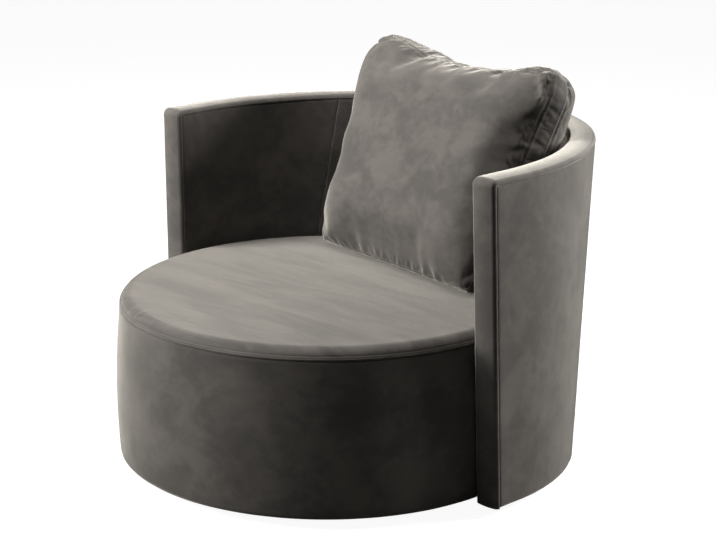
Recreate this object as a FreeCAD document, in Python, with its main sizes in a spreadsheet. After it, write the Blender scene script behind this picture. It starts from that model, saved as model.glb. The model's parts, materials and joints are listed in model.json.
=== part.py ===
import FreeCAD, Part
import os
from math import cos, hypot, pi, radians, sin, sqrt, tan
from types import SimpleNamespace

import Sketcher

# Round cuddle chair. A low plinth stands on the floor and carries a ball bearing swivel. A round
# upholstered seat drum turns on it, with a wall wrapped round its sides and back as one tall band
# whose back leans outwards. A boxed back cushion with a zip stands loose on the seat.
#
# The frame is in millimetres: +Z up, the front faces -Y, and the origin is the floor point on the
# swivel axis, under the middle of the whole chair.

vec = FreeCAD.Vector
UP = vec(0, 0, 1)
ORIGIN = vec(0, 0, 0)

# Driving sizes: name, value in millimetres or degrees or a count, and what it measures.
DRIVING_SIZES = (
    ("rim_height", 805, "floor to the top of the wall"),
    ("underside", 20, "floor to the underside of the seat and the wall"),
    ("wall_half_bottom", 606, "half width over the wall at its underside"),
    ("arm_lean", 16, "how far each arm leans inwards from its underside to the rim"),
    ("back_lean", 100, "how far the back leans outwards from its underside to the rim"),
    ("wall_straight", 50, "length behind the seat centre where the arms begin to curve"),
    ("arm_reach", 24, "seat centre forward to the arm front at its underside"),
    ("arm_rake", 16, "how far the arm front leans forwards from its underside to the rim"),
    ("seam_gap", 10, "free space between the arms and the seat at its seam"),
    ("side_gap", 0.9, "free space between the arms and the seat half way down"),
    ("foot_gap", 7.7, "free space between the arms and the seat at its foot"),
    ("back_gap", 2, "free space between the back and the seat at its foot"),
    ("panel_seam_angle", 35, "angle round the wall of the seams beside the centre panels"),
    ("cover", 1.5, "thickness of the velvet with its backing"),
    ("outer_padding", 8, "fibre wadding on the outside of the wall"),
    ("lining", 3, "hardboard lining on both sides of the wall frame"),
    ("stud_depth", 28, "depth of the ribs and studs of the wall"),
    ("inner_foam", 23, "foam on the inside of the wall"),
    ("front_foam", 12, "foam on the arm fronts"),
    ("roll_foam", 25, "height of the foam along the rim"),
    ("rim_round", 10, "rounding of the rim"),
    ("arm_corner", 9, "rounding of the arm front's upright edges"),
    ("border_drop", 13, "height of the border strip's skirts at the rim"),
    ("border_wrap", 11, "how far the border strip wraps round the arm front"),
    ("rail_thickness", 18, "thickness of the plywood top rail and middle rib"),
    ("middle_rib_height", 420, "floor to the middle rib"),
    ("stud_width", 38, "width of the studs along the wall"),
    ("base_cloth", 1, "thickness of the black cloth under the seat and the wall"),
    ("cloth_margin", 4, "free width outside the dust cover under the seat"),
    ("seam_height", 405, "floor to the seam round the seat"),
    ("seat_crown", 33, "rise of the seat's middle above the seam"),
    ("foot_round", 16, "rounding of the seat's bottom edge"),
    ("shoulder_round", 38, "rounding between the seat's top and side"),
    ("seam_dip", 20, "angle of the seat seam below the level of the shoulder's centre"),
    ("side_padding", 25, "depth of the padding round the seat at its foot"),
    ("drum_skin", 3, "hardboard wrapped round the seat frame"),
    ("ring_height", 340, "floor to the top of the seat ring"),
    ("ring_width", 67, "width of the seat ring"),
    ("ring_thickness", 18, "thickness of the seat ring"),
    ("board_thickness", 15, "thickness of the bottom board"),
    ("access_hole", 60, "radius of the hole over the swivel"),
    ("post_width", 38, "side of the square seat posts"),
    ("post_count", 8, "number of seat posts"),
    ("web_width", 50, "width of the elastic webbing"),
    ("web_thickness", 2, "thickness of the elastic webbing"),
    ("web_margin", 18, "corner of the webbing's outermost crossing to the seat ring"),
    ("web_count", 6, "straps each way"),
    ("web_ease", 0.3, "free space between straps where they cross"),
    ("beam_width", 60, "width of the base beams"),
    ("beam_thickness", 18, "thickness of the base beams"),
    ("beam_front", 70, "seat centre to the middle of the front cross beam"),
    ("beam_spacing", 260, "spacing of the two cross beams"),
    ("beam_offset", 80, "chair centre line to the middle of a back beam"),
    ("slot_ease", 2, "free space round a beam in the padding and covers"),
    ("bolt_radius", 3, "shank radius of the beam bolts"),
    ("bolt_head", 6, "head radius of the beam bolts"),
    ("bolt_bite", 14, "depth of the beam bolts below the beams"),
    ("glide_height", 4, "height of the glides"),
    ("glide_radius", 16, "radius of the glides"),
    ("glide_count", 8, "number of glides"),
    ("plinth_radius", 400, "radius of the plinth"),
    ("plinth_thickness", 16, "thickness of the plinth"),
    ("plinth_edge", 3, "chamfer of the plinth's upper edge"),
    ("plate_radius", 150, "radius of the swivel plates"),
    ("plate_thickness", 3, "thickness of the swivel plates"),
    ("race_radius", 112, "radius of the ball race"),
    ("race_depth", 1.6, "depth of the ball race in each plate"),
    ("ball_radius", 4, "radius of the bearing balls"),
    ("ball_ease", 0.3, "free space round each ball"),
    ("ball_count", 20, "number of bearing balls"),
    ("plate_ease", 1.5, "free space round the upper plate in the dust cover"),
    ("cage_width", 18, "width of the ball cage"),
    ("cage_thickness", 1.2, "thickness of the ball cage"),
    ("rivet_radius", 12, "radius of the centre rivet"),
    ("rivet_lip", 6, "width of the centre rivet's lips"),
    ("rivet_lip_height", 1.5, "height of the centre rivet's lips"),
    ("screw_radius", 2.5, "shank radius of the plate screws"),
    ("screw_head", 4.5, "head radius of the plate screws"),
    ("screw_head_height", 2.2, "head height of the plate screws"),
    ("screw_length", 12, "length of the plate screws under their heads"),
    ("screw_count", 6, "screws in each swivel plate"),
    ("cushion_top", 720, "width of the cushion across its upper corners"),
    ("cushion_bottom", 633, "width of the cushion across its lower corners"),
    ("cushion_height", 553, "height of the cushion between corners"),
    ("cushion_gusset", 56, "width of the cushion's side strip"),
    ("cushion_front_crown", 62, "how far the cushion's front swells"),
    ("cushion_back_crown", 124, "how far the cushion's back swells"),
    ("cushion_draw", 20, "how far the cushion's sides pull in"),
    ("cushion_corner", 38, "rounding of the cushion's corners"),
    ("cushion_cover", 1.2, "thickness of the cushion's cover"),
    ("cushion_recline", 24, "lean of the cushion"),
    ("cushion_turn", -8, "turn of the cushion about the vertical"),
    ("cushion_side", 40, "cushion's bottom edge to the chair's centre line"),
    ("rest_gap", 0.3, "free space under and behind the loose cushion"),
    ("zip_length", 460, "length of the zip"),
    ("zip_tape_width", 26, "width of the zip's tapes"),
    ("zip_tape", 0.7, "thickness of the zip's tapes"),
    ("zip_teeth_width", 5, "width of the closed teeth"),
    ("zip_teeth", 1.8, "height of the closed teeth"),
    ("slider_length", 12, "length of the zip slider"),
    ("slider_wall", 1.2, "wall of the zip slider"),
    ("slider_ease", 0.3, "free space between the slider and the teeth"),
    ("pull_length", 22, "length of the slider's pull tab"),
)

# Sizes that follow from the driving ones.
DERIVED_SIZES = (
    ("wall", "cover + outer_padding + lining + stud_depth + lining + inner_foam + cover",
     "whole thickness of the wall"),
    ("lean_rate", "arm_lean / (rim_height - underside)", "slope of the arms"),
    ("foot_height", "underside + foot_round", "floor to the top of the seat's rounded edge"),
    ("side_height", "(foot_height + seam_height) / 2", "floor to the widest part of the seat"),
    ("seat_radius", "wall_half_bottom - lean_rate * (seam_height - underside) - wall - seam_gap",
     "seat radius at the seam"),
    ("seat_widest", "wall_half_bottom - lean_rate * (side_height - underside) - wall - side_gap",
     "seat radius half way down"),
    ("seat_foot", "wall_half_bottom - lean_rate * foot_round - wall - foot_gap",
     "seat radius above its bottom edge"),
    ("wall_half_top", "wall_half_bottom - arm_lean", "half width over the wall at the rim"),
    ("wall_back_bottom", "seat_foot + back_gap + wall",
     "seat centre to the outside of the back at its underside"),
    ("wall_back_top", "wall_back_bottom + back_lean",
     "seat centre to the outside of the back at the rim"),
    ("arm_reach_top", "arm_reach + arm_rake", "seat centre forward to the arm front at the rim"),
    ("drum_y", "(seat_widest - wall_back_top) / 2", "swivel axis to the seat centre"),
    ("drum_radius", "seat_foot - side_padding - drum_skin", "radius of the seat frame"),
    ("ring_inner", "drum_radius - ring_width", "inner radius of the seat ring"),
    ("plinth_top", "glide_height + plinth_thickness", "floor to the top of the plinth"),
    ("race_centre", "ball_radius + ball_ease - race_depth", "plate face to the ball centres"),
    ("plate_gap", "2 * race_centre", "space between the swivel plates"),
    ("board_bottom", "plinth_top + 2 * plate_thickness + plate_gap",
     "floor to the underside of the bottom board"),
    ("beam_bottom", "board_bottom + board_thickness", "floor to the underside of the beams"),
    ("post_circle", "(ring_inner + drum_radius) / 2", "radius of the circle of seat posts"),
    ("ring_bottom", "ring_height - ring_thickness", "floor to the underside of the seat ring"),
    ("post_length", "ring_bottom - beam_bottom", "length of the seat posts"),
    ("web_wave", "(web_thickness + web_ease) / 2", "rise of a strap at a crossing"),
    ("web_pitch", "2 * (ring_inner / sqrt(2) - web_width / 2 - web_thickness - web_margin) / (web_count - 1)",
     "spacing of the webbing"),
    ("foam_base", "ring_height + web_thickness + web_wave + web_ease",
     "floor to the underside of the seat foam"),
    ("skin_bottom", "underside + cover", "floor to the lower edge of the drum skin"),
    ("skin_length", "ring_height - skin_bottom", "height of the drum skin"),
    ("skin_outer", "drum_radius + drum_skin", "outer radius of the drum skin"),
    ("cage_inner", "race_radius - cage_width / 2", "inner radius of the ball cage"),
    ("cage_outer", "race_radius + cage_width / 2", "outer radius of the ball cage"),
    ("cage_hole", "ball_radius + ball_ease", "radius of the holes in the ball cage"),
    ("lower_screw_circle", "(cage_outer + plate_radius) / 2", "radius of the lower plate's screws"),
    ("upper_screw_circle", "(cage_inner + access_hole) / 2", "radius of the upper plate's screws"),
    ("ball_height", "plinth_top + plate_thickness + race_centre", "floor to the ball centres"),
    ("cage_bottom", "ball_height - cage_thickness / 2", "floor to the underside of the cage"),
    ("rivet_hole", "rivet_radius + ball_ease", "radius of the upper plate's centre hole"),
    ("cloth_hole", "plate_radius + plate_ease", "radius of the hole in the dust cover"),
    ("cloth_radius", "drum_radius - cloth_margin", "radius of the dust cover"),
    ("cloth_bottom", "board_bottom - base_cloth", "floor to the underside of the dust cover"),
)

doc = FreeCAD.newDocument("cuddle_chair")
sheet = doc.addObject("Spreadsheet::Sheet", "sizes")


def fill_sheet():
    """Write the sizes into the sheet, one row each, and return them by name."""
    rows = [(name, str(value), note) for name, value, note in DRIVING_SIZES]
    rows += [(name, "=" + formula, note) for name, formula, note in DERIVED_SIZES]
    for row, (name, content, note) in enumerate(rows, start=1):
        sheet.set(f"A{row}", note)
        sheet.set(f"B{row}", content)
        sheet.setAlias(f"B{row}", name)
    doc.recompute()
    return SimpleNamespace(**{name: float(sheet.get(name)) for name, content, note in rows})


s = fill_sheet()
nodes = []


def keep(label, thing, at=None):
    """Name a finished sub-part and put it in the list of nodes."""
    thing.Label = label
    if at is not None:
        thing.Placement = at
    nodes.append(thing)
    return thing


def solid(label, shape, at=None):
    """A sub-part whose form is a loft, a revolved profile or a cut of them."""
    feature = doc.addObject("Part::Feature", label)
    feature.Shape = shape
    return keep(label, feature, at)


# Edges.

# How far the middle of a rounding of radius 1 lies from both of the edges that it joins.
ROUND_MIDDLE = 1 - sqrt(0.5)


def line(start, end):
    """A straight edge."""
    return Part.LineSegment(start, end).toShape()


def arc(start, middle, end):
    """A circular edge through three points."""
    return Part.Arc(start, middle, end).toShape()


# Bodies with sketches, for the flat and turned pieces.

def new_body(label, height="0", behind="0"):
    """A body whose origin lies at the given height, and behind the swivel axis."""
    body = doc.addObject("PartDesign::Body", label)
    body.setExpression("Placement.Base.z", height)
    body.setExpression("Placement.Base.y", behind)
    return keep(label, body)


def new_sketch(body, role):
    """A sketch on one of the body's own origin planes."""
    sketch = body.newObject("Sketcher::SketchObject", body.Label + "_sketch")
    plane = next(item for item in body.Origin.OriginFeatures if item.Role == role)
    sketch.AttachmentSupport = [(plane, "")]
    sketch.MapMode = "FlatFace"
    return sketch


def bound(sketch, kind, where, value):
    """A sketch constraint whose value is an expression in the sheet's sizes."""
    index = sketch.addConstraint(Sketcher.Constraint(kind, *where, 1.0))
    sketch.setExpression(f"Constraints[{index}]", value)


def add_circle(sketch, radius, across=None, along=None):
    """A circle on the sketch's origin, or at distances along its two axes."""
    circle = sketch.addGeometry(Part.Circle(vec(1, 1, 0), UP, 1), False)
    bound(sketch, "Radius", (circle,), radius)
    for kind, value, axis in (("DistanceX", across, -2), ("DistanceY", along, -1)):
        if value is None:
            sketch.addConstraint(Sketcher.Constraint("PointOnObject", circle, 3, axis))
        else:
            bound(sketch, kind, (-1, 1, circle, 3), value)


def round_plate(label, radius, thickness, height, behind="0", hole=None, hole_along=None):
    """A disc or ring, with its hole on the centre or at a distance behind it."""
    body = new_body(label, height, behind)
    sketch = new_sketch(body, "XY_Plane")
    add_circle(sketch, radius)
    if hole:
        add_circle(sketch, hole, along=hole_along)
    pad = body.newObject("PartDesign::Pad", label + "_pad")
    pad.Profile = sketch
    pad.setExpression("Length", thickness)
    doc.recompute()
    return body


def drill(body, radius, places, depth, height=0.0, upwards=True):
    """Equal holes at chosen places, from one level of the body upwards or downwards."""
    sketch = new_sketch(body, "XY_Plane")
    sketch.AttachmentOffset.Base = vec(0, 0, height)
    for place in places:
        circle = sketch.addGeometry(Part.Circle(place, UP, 1), False)
        sketch.addConstraint(Sketcher.Constraint("Block", circle))
        bound(sketch, "Radius", (circle,), radius)
    pocket = body.newObject("PartDesign::Pocket", body.Label + "_drilled")
    pocket.Profile = sketch
    pocket.Reversed = upwards
    pocket.setExpression("Length", depth)
    doc.recompute()


def hole_ring(body, radius, circle, count, depth):
    """Holes through the body's lower face, in a ring round its origin."""
    sketch = new_sketch(body, "XY_Plane")
    add_circle(sketch, radius, across=circle)
    pocket = body.newObject("PartDesign::Pocket", body.Label + "_hole")
    pocket.Profile = sketch
    pocket.Reversed = True
    pocket.setExpression("Length", depth)
    pattern = body.newObject("PartDesign::PolarPattern", body.Label + "_holes")
    pattern.Originals = [pocket]
    pattern.Axis = (sketch, ["N_Axis"])
    pattern.Angle = 360
    pattern.setExpression("Occurrences", count)
    body.Tip = pattern
    doc.recompute()


def ball_groove(body):
    """The round-bottomed ball race in the upper face of a swivel plate."""
    sketch = new_sketch(body, "XZ_Plane")
    add_circle(sketch, "sizes.ball_radius + sizes.ball_ease", across="sizes.race_radius",
               along="sizes.plate_thickness + sizes.race_centre")
    groove = body.newObject("PartDesign::Groove", body.Label + "_race")
    groove.Profile = sketch
    groove.ReferenceAxis = (sketch, ["V_Axis"])
    groove.Angle = 360
    doc.recompute()


def ring_positions(count, radius, first=0.0):
    """Places spread evenly on a circle round the origin."""
    turns = [first + 2 * pi * step / count for step in range(round(count))]
    return [vec(radius * cos(turn), radius * sin(turn), 0) for turn in turns]


def headed_pin(place, head, head_height, shank, length, direction):
    """A fastener: its shank runs from place along direction, its head lies the other way."""
    pin = Part.makeCylinder(shank, length, place, direction)
    return pin.fuse(Part.makeCylinder(head, head_height, place, direction * -1))


def fastener_group(label, places, head, head_height, shank, length, direction):
    """Equal fasteners that share one node."""
    pins = [headed_pin(place, head, head_height, shank, length, direction) for place in places]
    return solid(label, Part.makeCompound(pins))


def lifted(places, height, behind=0.0):
    """The places moved up, and behind the swivel axis."""
    return [place + vec(0, behind, height) for place in places]


def make_base():
    """Plinth, glides, lower swivel plate with its screws, and the centre rivet."""
    plinth = round_plate("base_plinth", "sizes.plinth_radius", "sizes.plinth_thickness",
                         "sizes.glide_height", hole="sizes.access_hole")
    pad = plinth.Tip
    rim = next(number for number, line in enumerate(pad.Shape.Edges, start=1)
               if line.BoundBox.ZMin > s.plinth_thickness / 2
               and line.BoundBox.XMax > (s.access_hole + s.plinth_radius) / 2
               and len(line.Vertexes) == 1)
    chamfer = plinth.newObject("PartDesign::Chamfer", "plinth_edge")
    chamfer.Base = (pad, [f"Edge{rim}"])
    chamfer.setExpression("Size", "sizes.plinth_edge")
    doc.recompute()
    hole_ring(plinth, "sizes.screw_radius", "sizes.lower_screw_circle", "sizes.screw_count",
              "sizes.plinth_thickness")

    glides = []
    for place in ring_positions(s.glide_count, s.plinth_radius - 2 * s.glide_radius):
        glide = doc.addObject("Part::Cylinder", "glide")
        glide.setExpression("Radius", "sizes.glide_radius")
        glide.setExpression("Height", "sizes.glide_height")
        glide.Placement.Base = place
        glides.append(glide)
    group = doc.addObject("Part::Compound", "base_glides")
    group.Links = glides
    keep("base_glides", group)

    lower = round_plate("swivel_lower_plate", "sizes.plate_radius", "sizes.plate_thickness",
                        "sizes.plinth_top", hole="sizes.rivet_radius")
    ball_groove(lower)
    hole_ring(lower, "sizes.screw_radius", "sizes.lower_screw_circle", "sizes.screw_count",
              "sizes.plate_thickness")
    top = s.plinth_top + s.plate_thickness
    places = lifted(ring_positions(s.screw_count, s.lower_screw_circle), top)
    fastener_group("lower_plate_screws", places, s.screw_head, s.screw_head_height,
                   s.screw_radius, s.screw_length, -UP)

    lip = s.rivet_radius + s.rivet_lip
    low = s.plinth_top - s.rivet_lip_height
    high = s.board_bottom + s.rest_gap
    shank = Part.makeCylinder(s.rivet_radius, high - low, vec(0, 0, low))
    foot = Part.makeCylinder(lip, s.rivet_lip_height, vec(0, 0, low))
    cap = Part.makeCylinder(lip, s.rivet_lip_height, vec(0, 0, high))
    solid("centre_rivet", shank.fuse([foot, cap]))


def make_ball_ring():
    """The caged balls that roll between the two swivel plates."""
    cage = round_plate("swivel_cage", "sizes.cage_outer", "sizes.cage_thickness",
                       "sizes.cage_bottom", hole="sizes.cage_inner")
    hole_ring(cage, "sizes.cage_hole", "sizes.race_radius", "sizes.ball_count",
              "sizes.cage_thickness")
    places = lifted(ring_positions(s.ball_count, s.race_radius), s.ball_height)
    solid("swivel_balls", Part.makeCompound([Part.makeSphere(s.ball_radius, at) for at in places]))


# Outline of the wall. Seen from above it is a straight run behind each arm front, then two arcs a
# side that meet smoothly at the junction angle, the second of them running round the back.

JUNCTION = 45
ARC_BREAKS = (s.panel_seam_angle, JUNCTION, 180 - JUNCTION, 180 - s.panel_seam_angle)
STUD_ANGLES = (20, 53, 90, 127, 160)
RIGHT_FRONT = -1
LEFT_FRONT = 181


def wall_size(height, inset):
    """Half width, back reach and front reach of the wall at a height, for a face set inwards."""
    share = (height - s.underside) / (s.rim_height - s.underside)
    half = s.wall_half_bottom + share * (s.wall_half_top - s.wall_half_bottom)
    back = s.wall_back_bottom + share * (s.wall_back_top - s.wall_back_bottom)
    front = s.arm_reach + share * (s.arm_reach_top - s.arm_reach)
    return half - inset, back - inset, front


def wall_arcs(height, inset):
    """Half width and back reach of a face of the wall, and the radii of its side and rear arcs."""
    half, back, front = wall_size(height, inset)
    lever = 1 / tan(radians(JUNCTION) / 2)
    rear = (lever * half - back + s.wall_straight) / (lever - 1)
    side = (half - rear * cos(radians(JUNCTION))) / (1 - cos(radians(JUNCTION)))
    return half, back, side, rear


def wall_point(height, inset, angle):
    """Point on a face of the wall where it looks towards the given angle, 0 right to 180 left."""
    half, back, side, rear = wall_arcs(height, inset)
    mirrored = 180 - angle if angle > 90 else angle
    turn = radians(mirrored)
    if mirrored <= JUNCTION:
        x = half - side + side * cos(turn)
        y = s.wall_straight + side * sin(turn)
    else:
        x = rear * cos(turn)
        y = back - rear + rear * sin(turn)
    return vec(-x if angle > 90 else x, y + s.drum_y, height)


def wall_room(point):
    """Free space between a point inside the chair and the wall's inner face."""
    half, back, side, rear = wall_arcs(point.z, s.wall)
    across = abs(point.x)
    along = point.y - s.drum_y
    if along < s.wall_straight:
        return half - across
    beyond = along - back + rear
    if beyond > across * tan(radians(JUNCTION)):
        return rear - hypot(across, beyond)
    return side - hypot(across - half + side, along - s.wall_straight)


def front_line(height, setback):
    """Where a layer of the arm front lies, forward of the swivel axis."""
    return s.drum_y - wall_size(height, 0)[2] + setback


def run_edges(height, inset, first, last, front):
    """Edges along one face of the wall, from one angle or arm front to another."""
    half = wall_size(height, inset)[0]
    edges = []
    if first == RIGHT_FRONT:
        edges.append(line(vec(half, front, height), wall_point(height, inset, 0)))
    breaks = [max(first, 0)]
    breaks += [angle for angle in ARC_BREAKS if first < angle < last]
    breaks.append(min(last, 180))
    for begin, end in zip(breaks, breaks[1:]):
        corners = [wall_point(height, inset, angle) for angle in (begin, (begin + end) / 2, end)]
        edges.append(arc(*corners))
    if last == LEFT_FRONT:
        edges.append(line(wall_point(height, inset, 180), vec(-half, front, height)))
    return edges


def end_edges(height, outside, inside, setback, corner, side):
    """Edges across an arm front, from the outer run to the inner one, with rounded corners."""
    front = front_line(height, setback)
    outer = side * wall_size(height, outside)[0]
    inner = side * wall_size(height, inside)[0]
    if not corner:
        return [line(vec(outer, front, height), vec(inner, front, height))]
    bend = corner * ROUND_MIDDLE
    corners = []
    for x, towards in ((outer, -side), (inner, side)):
        along = vec(x, front + corner, height)
        middle = vec(x + towards * bend, front + bend, height)
        across = vec(x + towards * corner, front, height)
        corners.append((along, middle, across))
    first, last = corners
    return [arc(*first), line(first[-1], last[-1]), arc(*reversed(last))]


def seam_edge(height, outside, inside, angle):
    """Edge through the wall's thickness at an angle."""
    return line(*[wall_point(height, inset, angle) for inset in (outside, inside)])


def band_wire(height, outside, inside, setback=0.0, corner=0.0, first=RIGHT_FRONT, last=LEFT_FRONT):
    """Closed outline of a layer of the wall at one height."""
    front = front_line(height, setback + corner)
    edges = run_edges(height, outside, first, last, front)
    if last == LEFT_FRONT:
        edges += end_edges(height, outside, inside, setback, corner, -1)
    else:
        edges.append(seam_edge(height, outside, inside, last))
    edges += reversed(run_edges(height, inside, first, last, front))
    if first == RIGHT_FRONT:
        edges += reversed(end_edges(height, outside, inside, setback, corner, 1))
    else:
        edges.append(seam_edge(height, outside, inside, first))
    return Part.Wire(edges)


def band(low, high, outside, inside, **ends):
    """A layer of the wall between two heights."""
    wires = [band_wire(height, outside, inside, **ends) for height in (low, high)]
    return Part.makeLoft(wires, True, True)


def rounded_band(low, high, outside, inside, setback, corner, rounding):
    """A layer of the wall whose upper edges are rounded off all round."""
    steps = [(low, 0.0), (high - rounding, 0.0)]
    steps += [(high - rounding * ROUND_MIDDLE, rounding * ROUND_MIDDLE), (high, rounding)]
    wires = [band_wire(height, outside + draw, inside - draw, setback + draw, corner)
             for height, draw in steps]
    return Part.makeLoft(wires, True, True)


def wall_block(low, high, outside, inside, angle, width):
    """An upright block inside the wall that faces the given angle."""
    along = vec(-sin(radians(angle)), cos(radians(angle)), 0) * (width / 2)
    wires = []
    for height in (low, high):
        near, far = [wall_point(height, inset, angle) for inset in (outside, inside)]
        corners = [near - along, near + along, far + along, far - along]
        wires.append(Part.makePolygon(corners + corners[:1]))
    return Part.makeLoft(wires, True, True)


def arm_wire(height, outside, inside, setback, depth, corner, side):
    """Outline of a pad across an arm front, with its front corners rounded."""
    front = front_line(height, setback + corner)
    back = front_line(height, setback + depth)
    outer = side * wall_size(height, outside)[0]
    inner = side * wall_size(height, inside)[0]
    edges = [line(vec(outer, back, height), vec(outer, front, height))]
    edges += end_edges(height, outside, inside, setback, corner, side)
    edges.append(line(vec(inner, front, height), vec(inner, back, height)))
    edges.append(line(vec(inner, back, height), vec(outer, back, height)))
    return Part.Wire(edges)


def arm_block(low, high, outside, inside, setback, depth, side, corner=0.0):
    """An upright piece across an arm front."""
    wires = []
    for height in (low, high):
        if corner:
            wires.append(arm_wire(height, outside, inside, setback, depth, corner, side))
        else:
            front = front_line(height, setback)
            back = front_line(height, setback + depth)
            outer = side * wall_size(height, outside)[0]
            inner = side * wall_size(height, inside)[0]
            places = [(outer, back), (outer, front), (inner, front), (inner, back), (outer, back)]
            wires.append(Part.makePolygon([vec(x, y, height) for x, y in places]))
    return Part.makeLoft(wires, True, True)


# Depths of the wall's layers, counted inwards from its outside.

padding_face = s.cover
lining_face = padding_face + s.outer_padding
frame_face = lining_face + s.lining
frame_back = frame_face + s.stud_depth
foam_face = frame_back + s.lining
foam_back = s.wall - s.cover
front_face = s.cover + s.front_foam
wall_base = s.underside + s.base_cloth
frame_top = s.rim_height - s.cover - s.roll_foam
border_low = s.rim_height - s.border_drop


def beam_box(x, y, width, depth, ease=0.0):
    """A base beam, or the slot for one when it is given some ease."""
    low = vec(x - width / 2 - ease, y + s.drum_y - depth / 2 - ease, s.beam_bottom - ease)
    return Part.makeBox(width + 2 * ease, depth + 2 * ease, s.beam_thickness + 2 * ease, low)


def beam_layout():
    """Middle, width and depth of the two cross beams and the two back beams."""
    reach = 2 * s.wall_half_bottom
    rear = s.beam_front + s.beam_spacing
    start = rear + s.beam_width / 2
    length = s.wall_back_top - start
    beams = [(0, s.beam_front, reach, s.beam_width), (0, rear, reach, s.beam_width)]
    beams += [(side * s.beam_offset, start + length / 2, s.beam_width, length) for side in (-1, 1)]
    return beams


def wall_fill(inset):
    """Everything inside one face of the wall, from below the beams to above them."""
    wires = []
    for height in (wall_base, s.ring_bottom):
        front = front_line(height, 0)
        half = wall_size(height, inset)[0]
        edges = run_edges(height, inset, RIGHT_FRONT, LEFT_FRONT, front)
        edges.append(line(vec(-half, front, height), vec(half, front, height)))
        wires.append(Part.Wire(edges))
    return Part.makeLoft(wires, True, True)


beam_slots = [beam_box(*beam, ease=s.slot_ease) for beam in beam_layout()]


def slotted(shape):
    """The shape with room for the base beams."""
    return shape.cut(beam_slots)


def wall_where(inset, axis, value):
    """Point on the right half of a face of the wall, at beam height, with the given x or y."""
    sign = -1 if axis == "x" else 1
    low, high = 0.0, 90.0
    for halving in range(40):
        middle = (low + high) / 2
        if sign * getattr(wall_point(s.beam_bottom, inset, middle), axis) < sign * value:
            low = middle
        else:
            high = middle
    return wall_point(s.beam_bottom, inset, low)


def beam_bolt_places():
    """Where the beams are bolted to the wall's bottom rib, and to the bottom board."""
    rib = frame_face + s.stud_depth / 2
    board_edge = s.drum_radius - s.beam_width
    places = []
    for side in (-1, 1):
        for x, y, width, depth in beam_layout()[:2]:
            across = y + s.drum_y
            places.append(vec(side * wall_where(rib, "y", across).x, across, 0))
            places.append(vec(side * sqrt(board_edge * board_edge - y * y), across, 0))
        places.append(vec(side * s.beam_offset, wall_where(rib, "x", s.beam_offset).y, 0))
        places.append(vec(side * s.beam_offset, s.drum_y + board_edge, 0))
    return places


def bolt_holes(places, low, high):
    """Holes for the beam bolts between two heights."""
    return [Part.makeCylinder(s.bolt_radius, high - low, place + vec(0, 0, low)) for place in places]


def make_seat_frame():
    """Upper swivel plate, bottom board, beams, posts, seat ring, hardboard skin and dust cover."""
    upper = round_plate("swivel_upper_plate", "sizes.plate_radius", "sizes.plate_thickness",
                        "sizes.board_bottom", hole="sizes.rivet_hole")
    ball_groove(upper)
    hole_ring(upper, "sizes.screw_radius", "sizes.upper_screw_circle", "sizes.screw_count",
              "sizes.plate_thickness")
    upper.Placement.Rotation = FreeCAD.Rotation(vec(1, 0, 0), 180)

    board = round_plate("bottom_board", "sizes.drum_radius", "sizes.board_thickness",
                        "sizes.board_bottom", "sizes.drum_y", "sizes.access_hole", "-sizes.drum_y")
    screws = ring_positions(s.screw_count, s.upper_screw_circle)
    drill(board, "sizes.screw_radius", lifted(screws, 0, -s.drum_y),
          "sizes.screw_length - sizes.plate_thickness")
    bolts = beam_bolt_places()
    inboard = [place for place in bolts if hypot(place.x, place.y - s.drum_y) < s.drum_radius]
    drill(board, "sizes.bolt_radius", lifted(inboard, 0, -s.drum_y), "sizes.bolt_bite",
          s.board_thickness, upwards=False)
    heads = lifted(screws, s.board_bottom - s.plate_thickness)
    fastener_group("upper_plate_screws", heads, s.screw_head, s.screw_head_height,
                   s.screw_radius, s.screw_length, UP)

    inside = wall_fill(frame_face)
    beams = [beam_box(*beam).common(inside) for beam in beam_layout()]
    holes = bolt_holes(bolts, s.beam_bottom, s.beam_bottom + s.beam_thickness)
    solid("cross_beams", Part.makeCompound([beam.cut(holes) for beam in beams[:2]]))
    solid("back_beams", Part.makeCompound([beam.cut(holes) for beam in beams[2:]]))
    fastener_group("beam_bolts", lifted(bolts, s.beam_bottom + s.beam_thickness), s.bolt_head,
                   s.bolt_radius, s.bolt_radius, s.beam_thickness + s.bolt_bite, -UP)

    posts = []
    for place in ring_positions(s.post_count, s.post_circle, pi / s.post_count):
        post = doc.addObject("Part::Box", "seat_post")
        for side in ("Length", "Width"):
            post.setExpression(side, "sizes.post_width")
        post.setExpression("Height", "sizes.post_length")
        corner = vec(s.post_width / 2, s.post_width / 2, 0)
        post.Placement.Base = place - corner + vec(0, s.drum_y, s.beam_bottom)
        posts.append(post)
    group = doc.addObject("Part::Compound", "seat_posts")
    group.Links = posts
    keep("seat_posts", group)

    round_plate("seat_ring", "sizes.drum_radius", "sizes.ring_thickness", "sizes.ring_bottom",
                "sizes.drum_y", "sizes.ring_inner")
    foot = vec(0, s.drum_y, s.skin_bottom)
    wrap = Part.makeCylinder(s.skin_outer, s.skin_length, foot)
    solid("drum_skin", slotted(wrap.cut(Part.makeCylinder(s.drum_radius, s.skin_length, foot))))
    round_plate("dust_cover", "sizes.cloth_radius", "sizes.base_cloth", "sizes.cloth_bottom",
                "sizes.drum_y", "sizes.cloth_hole", "-sizes.drum_y")


# Elastic webbing, woven over and under, stapled to the seat ring at both ends.

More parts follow.
